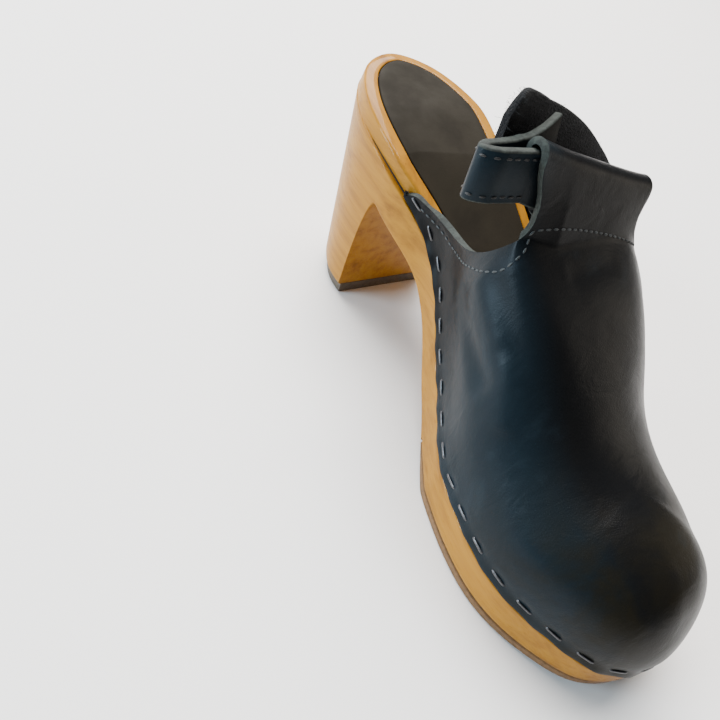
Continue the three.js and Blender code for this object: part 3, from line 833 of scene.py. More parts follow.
def sock_leather():
    """Sock leather: dark brown-grey, smooth and matt, with faint rubbed clouds."""
    tones = colours()
    made = Finish("sock_leather")
    clouds = made.noise(45, 4, 0.6)
    grain = made.cells(1600)
    made.colour(made.mix(made.span(clouds, 0.35, 0.7), tones.sock, shade(tones.sock, 0.7)))
    made.rough(made.span(clouds, 0.3, 0.7, 0.6, 0.76))
    made.set(Specular_IOR_Level=0.08)
    made.bump(grain, 0.00006, 0.6)
    made.bump(made.noise(2400, 2), 0.00003, 0.6)
    return made.material


def rubber(name, colour):
    """Matt rubber: speckled and slightly rough from the mould."""
    made = Finish(name)
    speck = made.noise(700, 4, 0.65)
    made.colour(made.mix(made.span(speck, 0.4, 0.7), colour, shade(colour, 0.62)))
    made.set(Roughness=0.78)
    made.bump(speck, 0.00012, 0.7)
    return made.material


def woven_band():
    """Hook-and-loop face: black, dull, with a fuzz of loops in rows."""
    tones = colours()
    made = Finish("woven_band")
    loops = made.cells(1900, "F1")
    fuzz = made.noise(1500, 5, 0.75)
    made.colour(made.mix(made.span(fuzz, 0.5, 0.75), tones.band, shade(tones.band, 3.2, 0.004)))
    made.set(Roughness=0.95, Sheen_Weight=0.05, Sheen_Roughness=0.6, Specular_IOR_Level=0.15)
    made.bump(loops, 0.0003, 0.9)
    made.bump(fuzz, 0.0004, 0.9)
    return made.material


def plain_finish(name, colour, roughness, metallic=0.0):
    """Thread, lint or wire: one colour with fine unevenness."""
    made = Finish(name)
    speck = made.noise(1800, 3, 0.6)
    made.colour(made.mix(made.span(speck, 0.35, 0.7), colour, shade(colour, 0.6)))
    made.set(Roughness=roughness, Metallic=metallic)
    made.bump(speck, 0.00005, 0.5)
    return made.material


# Pieces of the sole

def wood_stations(size):
    """Stations of the wood: crowded at both tips, at the tread's step and at the heel's breast."""
    # The wood steps up three gaps behind the tread's end, between the two closest stations
    step = size.tread_end + size.fit_gap * np.array([2, 2.9, 3.1, 4])
    # The breast rises steeply over its run, so its stations stand closer than those before it
    breast = size.breast_station + np.concatenate([np.linspace(-14, -1, 10), np.linspace(-0.6, 7, 30)])
    return np.concatenate([
        round_stations(size, 0, size.tread_end, 90), step,
        np.linspace(size.tread_end + 3, size.breast_station - 16, 44), breast,
        round_stations(size, size.breast_station + 8.5, size.sole_length, 60),
    ])


def wood_rings(last):
    """Rings from the sock's recess over the rim, down the rebate and the side, and round to the underside.
    Each is the outline moved in by an inset, at a height; the corners between are quarter rounds."""
    size = last.size
    loop = last.loop(wood_stations(size))
    s = loop.station
    shoulder = last.shoulder(s)
    rim = last.rim(s)
    inner = shoulder + size.rim_width
    floor = rim - size.sock_thickness - 1.4 * size.fit_gap
    brink = size.recess_round
    brow = size.rim_round
    nose = size.seat_round
    rings = [last.inwards(loop, inner, floor), last.inwards(loop, inner, rim - brink)]
    rings += [last.inwards(loop, inner - brink * run, rim - brink + brink * rise)
              for run, rise in arc_rings(4)]
    rings += [last.inwards(loop, shoulder + brow * (1 - rise), rim - brow * run)
              for run, rise in arc_rings(6)]
    seat_inset = last.seat_inset(s)
    seat = last.seat(s)
    rings.append(last.inwards(loop, seat_inset, seat + size.rebate_corner))
    rings.append(last.inwards(loop, seat_inset, seat))
    rings += [last.inwards(loop, nose * (1 - rise), seat - 0.02 - nose * run) for run, rise in arc_rings(4)]
    top = seat - size.side_start
    low = last.wood_underside(s)
    side_end = low + size.edge_round
    rings += [last.flank(loop, top + (side_end - top) * t) for t in np.linspace(0.04, 1, 12)]
    rings += [last.flank(loop, low + size.edge_round * (1 - rise), size.edge_round * run)
              for run, rise in arc_rings(5)[1:]]
    return rings


class CLOG_OT_wood(bpy.types.Operator):
    """Carve the wooden sole with its heel, rim and rebate: rings of its outline from top to bottom"""

    bl_idname = "clog.wood"
    bl_label = "Wooden sole"
    bl_options = {"REGISTER", "UNDO"}

    def execute(self, context):
        last = Last(sizes())
        places, faces = stacked(last, wood_rings(last))
        piece = add_piece("wooden_sole", places, faces, [varnished_wood()], merge=WELD, sharp=32)
        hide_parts("wood_sole")
        return {"FINISHED"}


class CLOG_OT_slits(bpy.types.Operator):
    """Paint the shade in the slits where the rebate runs out behind the wings: dark tubes that shrink as a
    square root
    """

    bl_idname = "clog.slits"
    bl_label = "Rebate slits"
    bl_options = {"REGISTER", "UNDO"}

    def execute(self, context):
        last = Last(sizes())
        size = last.size
        rows, around = 40, 8
        stations = np.linspace(size.wing_tip - 3, size.wing_tip + size.slit_run, rows)
        radius = size.slit_radius * np.sqrt(np.linspace(1, 0.02, rows))[:, None, None]
        angle = np.linspace(0, 2 * math.pi, around, endpoint=False)[:, None]
        upwards = np.array([0, 0, 1.0])
        places, faces = [], []
        for side in SIDES:
            edge = last.edge(side, stations)
            line = last.inwards(edge, last.seat_inset(stations) - 0.1, last.seat(stations) + 0.2)
            out = -np.stack([edge.in_x, edge.in_s, 0 * edge.in_s], axis=-1)[:, None, :]
            ring = out * np.cos(angle) + upwards * np.sin(angle)
            tube = (line[:, None, :] + ring * radius).reshape(-1, 3)
            start = len(places) * rows * around
            outward = facing_out(tube, tube_faces(rows, around))
            faces += [[corner + start for corner in face] for face in outward]
            places.append(tube)
        # Painted shade: dark tubes in place of the shadow inside the slits
        shadow = plain_finish("slit_shade", colours().slit, 0.9)
        add_piece("rebate_slits", last.metres(np.concatenate(places)), faces, [shadow])
        return {"FINISHED"}


class CLOG_OT_rubbers(bpy.types.Operator):
    """Lay the forefoot's tread and the heel's lift: the sole's outline, from its underside to the floor"""

    bl_idname = "clog.rubbers"
    bl_label = "Tread and heel lift"
    bl_options = {"REGISTER", "UNDO"}

    def execute(self, context):
        last = Last(sizes())
        size = last.size
        tones = colours()
        loop = last.loop(round_stations(size, 0, size.tread_end, 90))
        under = last.underside(loop.station)
        top = under + last.tread(loop.station)
        brow = top - 0.2 * (top - under)
        rings = [last.inwards(loop, size.edge_round, top), last.inwards(loop, 0.5, brow)]
        rings += [last.inwards(loop, 0.2 + run, under + 0.8 * (1 - rise)) for run, rise in arc_rings(5)]
        places, faces = stacked(last, rings)
        finish = rubber("tread_rubber", tones.tread)
        tread = add_piece("rubber_tread", places, faces, [finish], merge=WELD)
        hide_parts("forefoot_tread")
        heel_start = size.breast_station + size.breast_run + 0.1
        loop = last.loop(round_stations(size, heel_start, size.sole_length, 60))
        foot = size.lift_round
        rings = [last.flank(loop, z, size.edge_round) for z in np.linspace(size.lift_thickness, foot, 4)]
        rings += [last.flank(loop, foot * (1 - rise), size.edge_round + foot * run)
                  for run, rise in arc_rings(4)[1:]]
        places, faces = stacked(last, rings)
        finish = rubber("lift_rubber", tones.lift)
        lift = add_piece("rubber_lift", places, faces, [finish], merge=WELD)
        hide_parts("heel_lift")
        return {"FINISHED"}


class CLOG_OT_sock(bpy.types.Operator):
    """Lay the leather sock into the wood: the rim's inner line moved in by a gap, with a rounded edge"""

    bl_idname = "clog.sock"
    bl_label = "Sock"
    bl_options = {"REGISTER", "UNDO"}

    def execute(self, context):
        last = Last(sizes())
        size = last.size
        loop = last.loop(wood_stations(size))
        inset = last.shoulder(loop.station) + size.rim_width + size.fit_gap
        top = last.rim(loop.station) + size.sock_proud
        brow = size.sock_round
        # Two rings inside the edge keep the sock's top flat
        rings = [last.inwards(loop, inset + 6, top), last.inwards(loop, inset + 2.2, top)]
        rings += [last.inwards(loop, inset + brow * (1 - rise), top - brow * run)
                  for run, rise in arc_rings(4)]
        rings.append(last.inwards(loop, inset, last.rim(loop.station) - size.sock_thickness))
        places, faces = stacked(last, rings)
        piece = add_piece("leather_sock", places, faces, [sock_leather()], merge=WELD)
        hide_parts("insole_sock")
        return {"FINISHED"}


# The upper

TURNS_LOW = 26
TURNS_TAB = 30


def upper_patches(last):
    """Grids of the upper's outer face: toe fan, vamp, side wings and the folded tab."""
    size = last.size
    turns = {}
    for side in SIDES:
        x = -size.tab_medial if side == "medial" else size.tab_lateral
        at_tab = float(last.turn_at_x(side, x))
        turns[side] = np.concatenate([
            np.linspace(0, at_tab, TURNS_LOW + 1), np.linspace(at_tab, 1, TURNS_TAB + 1)[1:]
        ])

    def columns(side, stations, ridges, at):
        """Rows of wall points: one row a station, one column a turn."""
        edge = last.edge(side, stations)
        edge = Edge(side, *(value[:, None] for value in edge[1:]))
        return last.wall(edge, np.asarray(ridges, float)[:, None], at)

    fan = round_stations(size, 0, size.toe_box_station, 44)
    toe = {side: columns(side, fan, fan * 0 + size.toe_box_station, turns[side][None, :]) for side in SIDES}
    patches = [np.concatenate([toe["medial"][::-1], toe["lateral"][1:]])]
    ridges = np.linspace(size.toe_box_station, size.throat_station, 50)
    lag = ramp(ridges, size.toe_box_station, size.throat_station)
    vamp = {
        side: columns(side, ridges + size.throat_lag[side] * lag, ridges, turns[side][None, :])
        for side in SIDES
    }
    rows = np.concatenate([vamp["medial"], vamp["lateral"][:, ::-1][:, 1:]], axis=1)
    patches.append(rows[::-1])
    for side in SIDES:
        wing = wing_patch(last, side, turns[side][TURNS_LOW])
        patches.append(wing[::-1] if side == "medial" else wing)
    foot = np.concatenate([vamp["medial"][-1, TURNS_LOW:], vamp["lateral"][-1, TURNS_LOW:][::-1][1:]])
    patches.append(tab_patch(last, foot)[::-1])
    return patches


def wing_patch(last, side, tab_turn):
    """Side wall behind the throat, up to a top edge that follows its table and rounds off at the tip."""
    size = last.size
    start = size.throat_station + size.throat_lag[side]
    stations = start + (size.wing_tip - start) * (1 - np.cos(np.linspace(0, math.pi, 64))) / 2
    edge = last.edge(side, stations)
    near_tip = np.clip((stations - size.wing_tip + size.wing_tip_round) / size.wing_tip_round, 0, 1)
    low = last.leather_edge(stations)
    top = size.instep_height * last.wing_share[side](stations)
    least_height = 0.25
    goal = low + (top - low) * np.maximum(np.sqrt(1 - near_tip**2), least_height)
    ridges = stations - size.throat_lag[side]
    turn = last.turn_where(edge, ridges, lambda p: p[..., 2], goal)
    turn[0] = tab_turn
    at = turn[:, None] * np.linspace(0, 1, TURNS_LOW + 1)[None, :]
    edge = Edge(side, *(value[:, None] for value in edge[1:]))
    return last.wall(edge, ridges[:, None], at)


def tab_patch(last, foot):
    """The tab ruled up from the throat, turned over its fold and brought down to its stitched end."""
    size = last.size
    x = foot[:, 0]
    rows = [foot]
    waist_share = 0.3
    for t in TAB_ROWS:
        round_in = math.sqrt(1 - (1 - min((1 - t) / waist_share, 1)) ** 2)
        near = last.waisted(x, t, round_in)
        rows.append(last.by_tab(near, last.tab_length(near) * t, 0 * x))
    for angle in np.linspace(0, math.pi, 15)[1:]:
        rows.append(last.by_tab(x, 0 * x - size.fold_radius * math.sin(angle),
                                0 * x + size.fold_radius * (1 - math.cos(angle))))
    open_depth = 2 * size.fold_radius
    closing = (0.88, 1.04)
    for t in FLAP_ROWS:
        depth = open_depth + (size.stitched_depth - open_depth) * ramp(t, *closing)
        near = last.waisted(x, t, np.where(x < 0, size.flap_waist, 1))
        rows.append(last.by_tab(near, last.tab_length(near) * t, 0 * x + depth))
    return np.stack(rows)


def fold_depth(places):
    """Inward push of the worn folds: a bell curve of the distance from each fold's line."""
    push = np.zeros(len(places))
    for fold in FOLDS:
        start, end = np.array(fold.start, float), np.array(fold.end, float)
        run = end - start
        t = ((places - start) @ run) / (run @ run)
        away = np.linalg.norm(places - start - np.clip(t, 0, 1)[:, None] * run, axis=1)
        push += fold.depth * np.exp(-((away / fold.width) ** 2)) * ramp(1.35 - np.abs(2 * t - 1), 0, 0.5)
    return push


def merged_patches(last):
    """The patches joined into one sheet: its places and its faces, which point outwards."""
    places, faces, start = [], [], 0
    for patch in upper_patches(last):
        rows, count = patch.shape[:2]
        places.append(patch.reshape(-1, 3))
        faces.append(grid_faces(rows, count, start=start))
        start += rows * count
    places = np.concatenate(places)
    faces = np.concatenate(faces)
    _, first, back = np.unique(np.round(places / 2e-3).astype(np.int64), axis=0, return_index=True,
                               return_inverse=True)
    places = places[first]
    faces = back.reshape(-1)[faces]
    upwards = face_normals_at(places, faces)[:, 2] * (places[:, 2] > last.size.arch_height)
    return places, faces if upwards.sum() > 0 else faces[:, ::-1]


def relaxed(places, faces):
    """Each inner point moves part of the way to the mean of its neighbours, once a round, and less on
    the tab; on the border only the throat's edge moves, along itself."""
    pairs = np.concatenate([faces[:, [k, (k + 1) % 4]] for k in range(4)])
    pairs = np.sort(pairs[pairs[:, 0] != pairs[:, 1]], axis=1)
    pairs, uses = np.unique(pairs, axis=0, return_counts=True)
    edges = pairs[uses == 1]
    border = np.zeros(len(places), bool)
    border[edges.reshape(-1)] = True
    station = places[:, 1]
    height = places[:, 2]
    free = ramp(station, *NOTCH_START) * (1 - ramp(station, *NOTCH_END)) * (1 - ramp(height, *NOTCH_TOP))
    flap = (height > FLAP_FLOOR) & (np.abs(places[:, 0]) < FLAP_HALF_WIDTH)
    free = (free * border * ~flap * 0.5)[:, None]
    places = drawn_to_neighbours(places, edges, free, BORDER_ROUNDS)
    loose = (~border * (0.5 - 0.43 * ramp(places[:, 2], *TAB_RISE)))[:, None]
    return drawn_to_neighbours(places, pairs, loose, INNER_ROUNDS)


def drawn_to_neighbours(places, pairs, share, rounds):
    """Points moved by a share of the way to the mean of the points that pairs join them to."""
    one, other = np.concatenate([pairs, pairs[:, ::-1]]).T
    count = np.maximum(np.bincount(one, minlength=len(places)), 1)[:, None]
    for _ in range(rounds):
        total = np.stack([np.bincount(one, places[other, k], len(places)) for k in range(3)], axis=1)
        places = places + (total / count - places) * share
    return places


def staple_row(last, tree):
    """Even places of the staples above the leather's lower edge, with directions and normals."""
    size = last.size
    stations = round_stations(size, 0.2, size.wing_tip - 5, 200)
    lines = []
    for side in SIDES:
        edge = last.edge(side, stations)
        height = last.leather_edge(stations) + size.staple_height
        lines.append(last.inwards(edge, -size.leather_proud, height))
    line, _ = laid_on(tree, np.concatenate([lines[0][::-1], lines[1]]))
    count = int(np.linalg.norm(np.diff(line, axis=0), axis=1).sum() / size.staple_pitch)
    places, along, _ = even_places(line, count)
    places, up = laid_on(tree, places)
    return places, along, up


def staple_dents(last, places, tree):
    """Inward push at each staple and a lesser bulge of the edge between staples: oval bell curves."""
    at, along, _ = staple_row(last, tree)
    between = (at[1:] + at[:-1]) / 2 - np.array([0, 0, last.size.staple_height])
    dents = oval_bells(places, at, along, *DENT_REACH)
    bulges = oval_bells(places, between, along[1:], *BULGE_REACH)
    return last.size.staple_dent * dents - last.size.edge_bulge * bulges


def oval_bells(places, at, along, long, wide):
    """Sum of bell curves round each centre, longer along its direction than across it."""
    away = places[:, None, :] - at[None, :, :]
    run = (away * along[None, :, :]).sum(axis=2)
    across = (away**2).sum(axis=2) - run**2
    return np.exp(-(run / long) ** 2 - across / wide**2).sum(axis=1)


def tree_of(places, faces):
    """Search tree over the faces, for the nearest place on the sheet."""
    return BVHTree.FromPolygons(places.tolist(), [face for face in map(distinct, faces) if len(face) > 2])


def upper_sheet(last):
    """The outer face in shoe places, relaxed, folded and dented by its staples, with its faces."""
    places, faces = merged_patches(last)
    places = relaxed(places, faces)
    normal = face_normals_at(places, faces)
    places = places - normal * fold_depth(places)[:, None]
    normal = face_normals_at(places, faces)
    places = places - normal * staple_dents(last, places, tree_of(places, faces))[:, None]
    return places, faces


def face_normals_at(places, faces):
    """Normals at the points: the sum of their faces' area vectors, made one long."""
    diagonal = np.cross(places[faces[:, 2]] - places[faces[:, 0]], places[faces[:, 3]] - places[faces[:, 1]])
    normal = np.zeros_like(places)
    for k in range(4):
        np.add.at(normal, faces[:, k], diagonal)
    return normal / np.maximum(np.linalg.norm(normal, axis=1, keepdims=True), 1e-12)


def distinct(face):
    """A face's corners with repeats left out."""
    return list(dict.fromkeys(int(corner) for corner in face))


class CLOG_OT_upper(bpy.types.Operator):
    """Shape the leather upper: one sheet with its folded tab, given its wall inwards and raw edges"""

    bl_idname = "clog.upper"
    bl_label = "Upper"
    bl_options = {"REGISTER", "UNDO"}

    def execute(self, context):
        last = Last(sizes())
        places, faces = upper_sheet(last)
        clean = [face for face in map(distinct, faces) if len(face) > 2]
        finishes = [oiled_leather(), cut_leather()]
        piece = add_piece("leather_upper", last.metres(places), clean, finishes, sharp=60)
        wall = piece.modifiers.new("wall", "SOLIDIFY")
        wall.thickness = last.size.leather * MM
        wall.offset = -1
        wall.use_even_offset = False
        wall.use_rim = True
        wall.material_offset_rim = 1
        rounding = piece.modifiers.new("edge_rounding", "BEVEL")
        rounding.width = 0.00045
        rounding.segments = 2
        rounding.limit_method = "ANGLE"
        rounding.angle_limit = math.radians(60)
        rounding.harden_normals = False
        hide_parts("upper")
        return {"FINISHED"}


# Strap and band

def rounded_section(thickness, width, corner, steps=3):
    """Corners of a rounded rectangle: across its thickness and along its width."""
    section = []
    for turn in range(4):
        angle = np.linspace(0, math.pi / 2, steps) + turn * math.pi / 2
        across = (thickness / 2 - corner) * (1, -1, -1, 1)[turn]
        up = (width / 2 - corner) * (1, 1, -1, -1)[turn]
        section.append(np.stack([across + corner * np.cos(angle), up + corner * np.sin(angle)], axis=1))
    return np.concatenate(section)


def ribbon_line(last, rows, count):
    """Even places along a ribbon's middle line beside the tab: across, behind and lift in millimetres."""
    size = last.size
    points = [
        (across * (size.tab_medial if across < 0 else size.tab_lateral),
         size.leather + size.tunnel_depth / 2 + behind * size.layer_step, lift * size.strap_width)
        for across, behind, lift in rows
    ]
    return even_places(smooth_line(points, 60), count)


def ribbon_places(last, line, along, offset, up):
    """Places beside the middle line: offset across the ribbon's thickness and up along its width."""
    size = last.size
    side = np.stack([-along[:, 1], along[:, 0]], axis=1)
    side /= np.linalg.norm(side, axis=1, keepdims=True)
    centre = size.strap_width / 2 - size.strap_rise - line[:, 2]
    x = line[:, 0, None] + side[:, 0, None] * offset
    behind = line[:, 1, None] + side[:, 1, None] * offset
    return last.by_tab(x, centre[:, None] - up, behind)


def ribbon(last, rows, width, thickness, count, width_at, corner=0.6):
    """A rounded section carried along its middle line, with both ends closed; width_at scales its width
    by the distance to its free end. Its thin edges and ends take the second material."""
    line, along, long = ribbon_line(last, rows, count)
    section = rounded_section(thickness, width, corner)
    shares = width_at(np.linspace(long, 0, count))
    offset = np.broadcast_to(section[:, 0], (count, len(section)))
    up = section[:, 1] * shares[:, None]
    grid = ribbon_places(last, line, along, offset, up)
    thin = np.abs(np.roll(section, -1, axis=0)[:, 1] + section[:, 1]) / 2 > width / 2 - corner
    indices = np.tile(thin.astype(int), count - 1).tolist()
    places = last.metres(grid.reshape(-1, 3))
    return places, facing_out(places, tube_faces(count, len(section))), indices + [1, 1]


def facing_out(places, faces):
    """Faces turned round when the closed body that they make has a negative volume."""
    volume = sum(
        np.dot(places[face[0]], np.cross(places[face[i]], places[face[i + 1]]))
        for face in faces for i in range(1, len(face) - 1)
    )
    return faces if volume > 0 else [face[::-1] for face in faces]


class CLOG_OT_strap(bpy.types.Operator):
    """Run the heel strap through the tab and back: a rounded section carried along its middle line"""

    bl_idname = "clog.strap"
    bl_label = "Heel strap"
    bl_options = {"REGISTER", "UNDO"}

    def execute(self, context):
        last = Last(sizes())
        size = last.size
        section = (size.strap_width, size.strap_thickness)
        places, faces, indices = ribbon(last, STRAP, *section, 260, width_at=np.ones_like)
        finishes = [oiled_leather(), cut_leather()]
        piece = add_piece("leather_strap", places, faces, finishes, indices, sharp=50)
        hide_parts("heel_strap")
        return {"FINISHED"}


class CLOG_OT_band(bpy.types.Operator):
    """Stand the fuzzy band up behind the tab: a tapered section along its middle line, with lint"""

    bl_idname = "clog.band"
    bl_label = "Hook-and-loop band"
    bl_options = {"REGISTER", "UNDO"}

    def execute(self, context):
        last = Last(sizes())
        size = last.size

        def taper(to_end):
            """The width narrows to half at the free end, along a quarter circle."""
            return np.sqrt(1 - 0.75 * (1 - np.clip(to_end / size.band_end_round, 0, 1)) ** 2)

        places, faces, _ = ribbon(last, BAND, size.band_width, size.band_thickness, 120, taper, 0.8)
        piece = add_piece("fuzzy_band", places, faces, [woven_band()], sharp=50)
        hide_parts("strap_band")
        self.add_lint(last)
        return {"FINISHED"}

    def add_lint(self, last):
        """Short bent fibres on the band's face and edges: each a three-sided prism of two lengths."""
        size = last.size
        count = 2200
        spots = 200
        fibre_radius = 0.035
        random = np.random.default_rng(7)
        line, along, _ = ribbon_line(last, BAND, spots)
        pick = random.integers(0, spots, count)
        up = random.uniform(-0.48, 0.48, count) * size.band_width
        side = np.where(random.random(count) < 0.75, -1, 1) * size.band_thickness / 2
        # Roots sit just under the band's face, and the points off it give the way out
        root, off = (
            ribbon_places(last, line[pick], along[pick], (side * share)[:, None], up[:, None])[:, 0]
            for share in (0.9, 1.9)
        )
        out = off - root
        out /= np.linalg.norm(out, axis=1, keepdims=True)
        lean = random.normal(0, 0.7, (count, 3))
        long = random.uniform(0.35, 1.3, count)[:, None]
        middle = root + (out + 0.4 * lean) * long * 0.5
        tip = middle + (out * 0.3 + lean) * long * 0.5
        angle = np.arange(3) * 2 * math.pi / 3
        ring = np.stack([np.cos(angle), np.sin(angle), np.sin(angle + 1)], axis=1) * fibre_radius
        grid = np.stack([root, middle, tip], axis=1)[:, :, None, :] + ring
        start = grid[0, :, :, 0].size * np.arange(count)[:, None, None]
        sides = (grid_faces(3, 3, closed=True) + start).reshape(-1, 4)
        ends = (np.array([[2, 1, 0], [6, 7, 8]]) + start).reshape(-1, 3)
        lint = plain_finish("black_lint", (0.012, 0.014, 0.014), 0.9)
        faces = sides.tolist() + ends.tolist()
        add_piece("band_lint", last.metres(grid.reshape(-1, 3)), faces, [lint])


# Stitches and staples

def capsule(half, wide, high, around=8, along=5):
    """Points and faces of a slim bead: circles that shrink to both ends, flattened to its height."""
    t = np.linspace(-1, 1, along)
    radius = np.sqrt(np.maximum(1 - t**4, 0.03))
    angle = np.linspace(0, 2 * math.pi, around, endpoint=False)
    x = np.broadcast_to((t * half)[:, None], (along, around))
    y = radius[:, None] * np.cos(angle) * wide
    z = radius[:, None] * np.sin(angle) * high
    points = np.stack([x, y, z], axis=-1).reshape(-1, 3)
    return points, facing_out(points, tube_faces(along, around))


def repeated(base, faces, places, along, up):
    """Copies of a small shape set along a path: its x runs along, its z up off the surface."""
    across = np.cross(up, along)
    across /= np.linalg.norm(across, axis=1, keepdims=True)
    along = np.cross(across, up)
    axes = np.stack([along, across, up], axis=1)
    points = np.einsum("pk,nkc->npc", base, axes) + places[:, None, :]
    copies = [[corner + n * len(base) for corner in face] for n in range(len(places)) for face in faces]
    return points.reshape(-1, 3), copies


def laid_on(tree, places):
    """The nearest places on a surface and its normals there."""
    found = [tree.find_nearest(Vector(place)) for place in places]
    return np.array([hit[0] for hit in found]), np.array([hit[1] for hit in found])


def seam(tree, rows, pitch):
    """Even places along a given line laid on the upper, with directions and normals."""
    line = smooth_line(rows, 40)
    line, _ = laid_on(tree, line)
    count = int(round(np.linalg.norm(np.diff(line, axis=0), axis=1).sum() / pitch)) + 1
    places, along, _ = even_places(line, count)
    places, up = laid_on(tree, places)
    return places, along, up


class CLOG_OT_stitches(bpy.types.Operator):
    """Sew the rows round the throat, along the tab and on the strap: small beads at even distances"""

    bl_idname = "clog.stitches"
    bl_label = "Stitches"
    bl_options = {"REGISTER", "UNDO"}

    def execute(self, context):
        last = Last(sizes())
        size = last.size
        tree = tree_of(*upper_sheet(last))
        thread = plain_finish("waxed_thread", colours().thread, 0.6)
        rows = [seam(tree, THROAT_SEAM, size.stitch_pitch), seam(tree, LATERAL_SEAM, size.stitch_pitch)]
        self.sew(last, "stitches", rows, thread)
        dark = plain_finish("black_thread", colours().leather, 0.5)
        self.sew(last, "strap_stitches", self.strap_rows(last), dark)
        return {"FINISHED"}

    def sew(self, last, name, rows, thread):
        """One mesh of all stitches of these rows."""
        base, faces = capsule(last.size.stitch_pitch * 0.34, 0.36, 0.26)
        points, copies = [], []
        for places, along, up in rows:
            made, shifted = repeated(base, faces, places + 0.1 * up, along, up)
            start = sum(len(block) for block in points)
            points.append(made)
            copies += [[corner + start for corner in face] for face in shifted]
        add_piece(name, last.metres(np.concatenate(points)), copies, [thread], sharp=80)

    def strap_rows(self, last):
        """Two rows on the strap's outer face, a little inside its long edges, past the tab's medial side."""
        size = last.size
        line, along, long = ribbon_line(last, STRAP, 800)
        pick = np.linspace(0, 799, int(long / size.stitch_pitch)).astype(int)
        pick = pick[line[pick, 0] < -size.tab_medial - 0.6]
        rows = []
        for level in (-1, 1):
            up = np.full((1, 1), level * (size.strap_width / 2 - 2.2))
            middle, at = (
                ribbon_places(last, line[pick], along[pick], np.full((1, 1), offset), up)[:, 0]
                for offset in (0, size.strap_thickness / 2)
            )
            out = at - middle
            out /= np.linalg.norm(out, axis=1, keepdims=True)
            rows.append((at, np.gradient(at, axis=0), out))
        return rows


def staple_shape():
    """A wire crown with both ends bent down: an ellipse carried along the bent line of STAPLE_LINE."""
    line = np.array(STAPLE_LINE)
    along = np.gradient(line, axis=0)
    along /= np.linalg.norm(along, axis=1, keepdims=True)
    angle = np.linspace(0, 2 * math.pi, 8, endpoint=False)
    wide, high = STAPLE_WIRE
    x = line[:, 0, None] - along[:, 1, None] * np.sin(angle) * high
    z = line[:, 1, None] + along[:, 0, None] * np.sin(angle) * high
    y = np.broadcast_to(np.cos(angle) * wide, x.shape)
    points = np.stack([x, y, z], axis=-1).reshape(-1, 3)
    return points, facing_out(points, tube_faces(len(line), 8))


class CLOG_OT_staples(bpy.types.Operator):
    """Drive the staples that hold the leather to the wood: copies along its lower edge, swayed a little"""

    bl_idname = "clog.staples"
    bl_label = "Staples"
    bl_options = {"REGISTER", "UNDO"}

    def execute(self, context):
        last = Last(sizes())
        places, along, up = staple_row(last, tree_of(*upper_sheet(last)))
        random = np.random.default_rng(3)
        sway = random.normal(0, 0.06, len(places))[:, None]
        along = along + sway * np.cross(up, along)
        base, faces = staple_shape()
        points, copies = repeated(base, faces, places, along, up)
        steel = plain_finish("staple_wire", colours().steel, 0.36, 0.9)
        add_piece("staples", last.metres(points), copies, [steel], sharp=70)
        return {"FINISHED"}


# Stage

def area_light(name, place, aim, size, power, colour=(1, 1, 1)):
    """A soft square light that faces its aim."""
    light = bpy.data.lights.new(name, "AREA")
    light.size = size
    light.energy = power
    light.color = colour
    lamp = bpy.data.objects.new(name, light)
    lamp.location = place
    lamp.rotation_euler = (Vector(aim) - Vector(place)).to_track_quat("-Z", "Y").to_euler()
    bpy.context.scene.collection.objects.link(lamp)


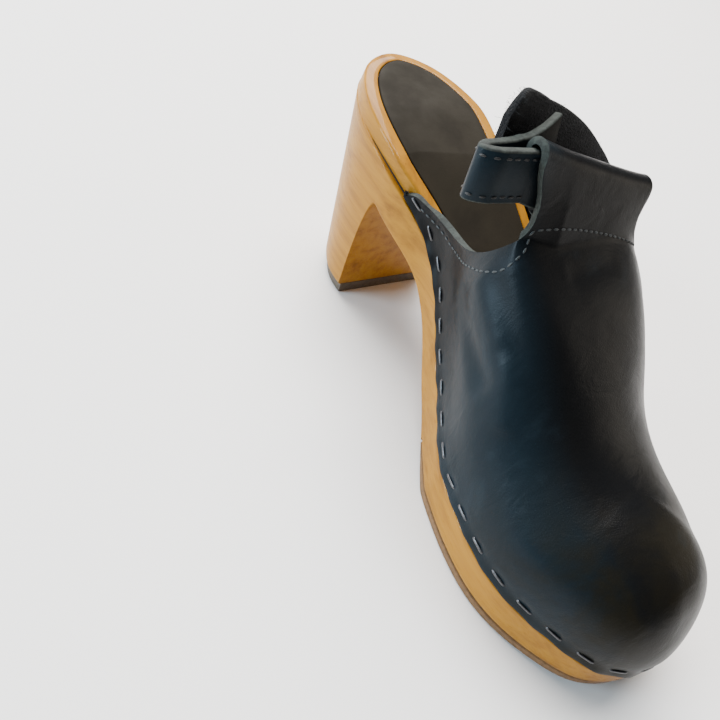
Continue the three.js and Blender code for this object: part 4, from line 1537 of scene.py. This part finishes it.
class CLOG_OT_stage(bpy.types.Operator):
    """Set the floor, the soft light and the photograph's camera"""

    bl_idname = "clog.stage"
    bl_label = "Stage"
    bl_options = {"REGISTER", "UNDO"}

    def execute(self, context):
        self.add_floor()
        self.add_lights(context)
        self.add_camera(context)
        return {"FINISHED"}

    def add_floor(self):
        """One pale square, far wider than the shoe."""
        corners = [(x * FLOOR_HALF, y * FLOOR_HALF, 0) for x, y in ((-1, -1), (1, -1), (1, 1), (-1, 1))]
        mesh = bpy.data.meshes.new("floor")
        mesh.from_pydata(corners, [], [(0, 1, 2, 3)])
        made = Finish("pale_floor")
        made.set(Base_Color=FLOOR_COLOUR, Roughness=0.7, Specular_IOR_Level=0.2)
        mesh.materials.append(made.material)
        floor = bpy.data.objects.new("floor", mesh)
        bpy.context.scene.collection.objects.link(floor)

    def add_lights(self, context):
        """A large soft key from the heel's side, a cool window, a faint fill, and a bright background that
        lights the shoe only a little."""
        world = bpy.data.worlds.new("studio")
        world.use_nodes = True
        sky = world.node_tree.nodes["Background"]
        sky.inputs["Color"].default_value = (*SKY_COLOUR, 1)
        seen = world.node_tree.nodes.new("ShaderNodeLightPath")
        strength = world.node_tree.nodes.new("ShaderNodeMapRange")
        strength.inputs["To Min"].default_value = SKY_FOR_SHOE
        strength.inputs["To Max"].default_value = SKY_FOR_CAMERA
        world.node_tree.links.new(seen.outputs["Is Camera Ray"], strength.inputs["Value"])
        world.node_tree.links.new(strength.outputs["Result"], sky.inputs["Strength"])
        context.scene.world = world
        aim = (0, 0, 0.05)
        area_light("key", (0.2, 1.05, 1.6), aim, 1.9, 180, (1, 0.985, 0.965))
        area_light("window", (-1.15, 0.42, 0.4), aim, 0.45, 24, (0.66, 0.85, 1))
        area_light("fill", (1.2, -0.5, 0.5), aim, 0.6, 2.5, (1, 0.9, 0.76))

    def add_camera(self, context):
        """Camera turned about the vertical, tipped down and rolled by the photograph's three angles."""
        last = Last(sizes())
        turn, tip, roll = (math.radians(a) for a in (CAMERA_AZIMUTH, CAMERA_ELEVATION, CAMERA_ROLL))
        back = Vector((math.sin(turn) * math.cos(tip), -math.cos(turn) * math.cos(tip), math.sin(tip)))
        level = Vector((math.cos(turn), math.sin(turn), 0))
        upright = back.cross(level)
        right = level * math.cos(roll) + upright * math.sin(roll)
        up = back.cross(right)
        view = bpy.data.cameras.new("photo_view")
        view.sensor_width = SENSOR_WIDTH
        view.lens = SENSOR_WIDTH * FOCAL_PIXELS / FRAME_PIXELS
        view.clip_start = 0.01
        camera = bpy.data.objects.new("photo_view", view)
        camera.matrix_world = Matrix.Translation(Vector(last.metres(CAMERA_PLACE))) @ Matrix(
            (right, up, back)).transposed().to_4x4()
        context.scene.collection.objects.link(camera)
        context.scene.camera = camera


BUILD_ORDER = (
    CLOG_OT_wood, CLOG_OT_slits, CLOG_OT_rubbers, CLOG_OT_sock, CLOG_OT_upper, CLOG_OT_strap, CLOG_OT_band,
    CLOG_OT_stitches, CLOG_OT_staples, CLOG_OT_stage,
)


class CLOG_PT_panel(bpy.types.Panel):
    """Lists the clog's pieces"""

    bl_idname = "CLOG_PT_panel"
    bl_label = "Wooden Clog"
    bl_space_type = "VIEW_3D"
    bl_region_type = "UI"
    bl_category = "Clog"

    def draw(self, context):
        """Show the sizes, the colours and a button for each operator."""
        for group in (context.scene.clog_sizes, context.scene.clog_colours):
            column = self.layout.column(align=True)
            for name in type(group).__annotations__:
                column.prop(group, name)
        for operator in BUILD_ORDER:
            self.layout.operator(operator.bl_idname)


CLASSES = (ClogSizes, ClogColours, *BUILD_ORDER, CLOG_PT_panel)


def register():
    """Register the classes and give the scene its sizes and colours."""
    for entry in CLASSES:
        bpy.utils.register_class(entry)
    bpy.types.Scene.clog_sizes = bpy.props.PointerProperty(type=ClogSizes)
    bpy.types.Scene.clog_colours = bpy.props.PointerProperty(type=ClogColours)


def unregister():
    """Undo what register did, in the opposite order."""
    del bpy.types.Scene.clog_colours
    del bpy.types.Scene.clog_sizes
    for entry in reversed(CLASSES):
        bpy.utils.unregister_class(entry)


def main():
    """Register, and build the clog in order."""
    register()
    for operator in BUILD_ORDER:
        group, name = operator.bl_idname.split(".")
        getattr(getattr(bpy.ops, group), name)()
    bpy.context.view_layer.update()


if __name__ == "__main__":
    main()
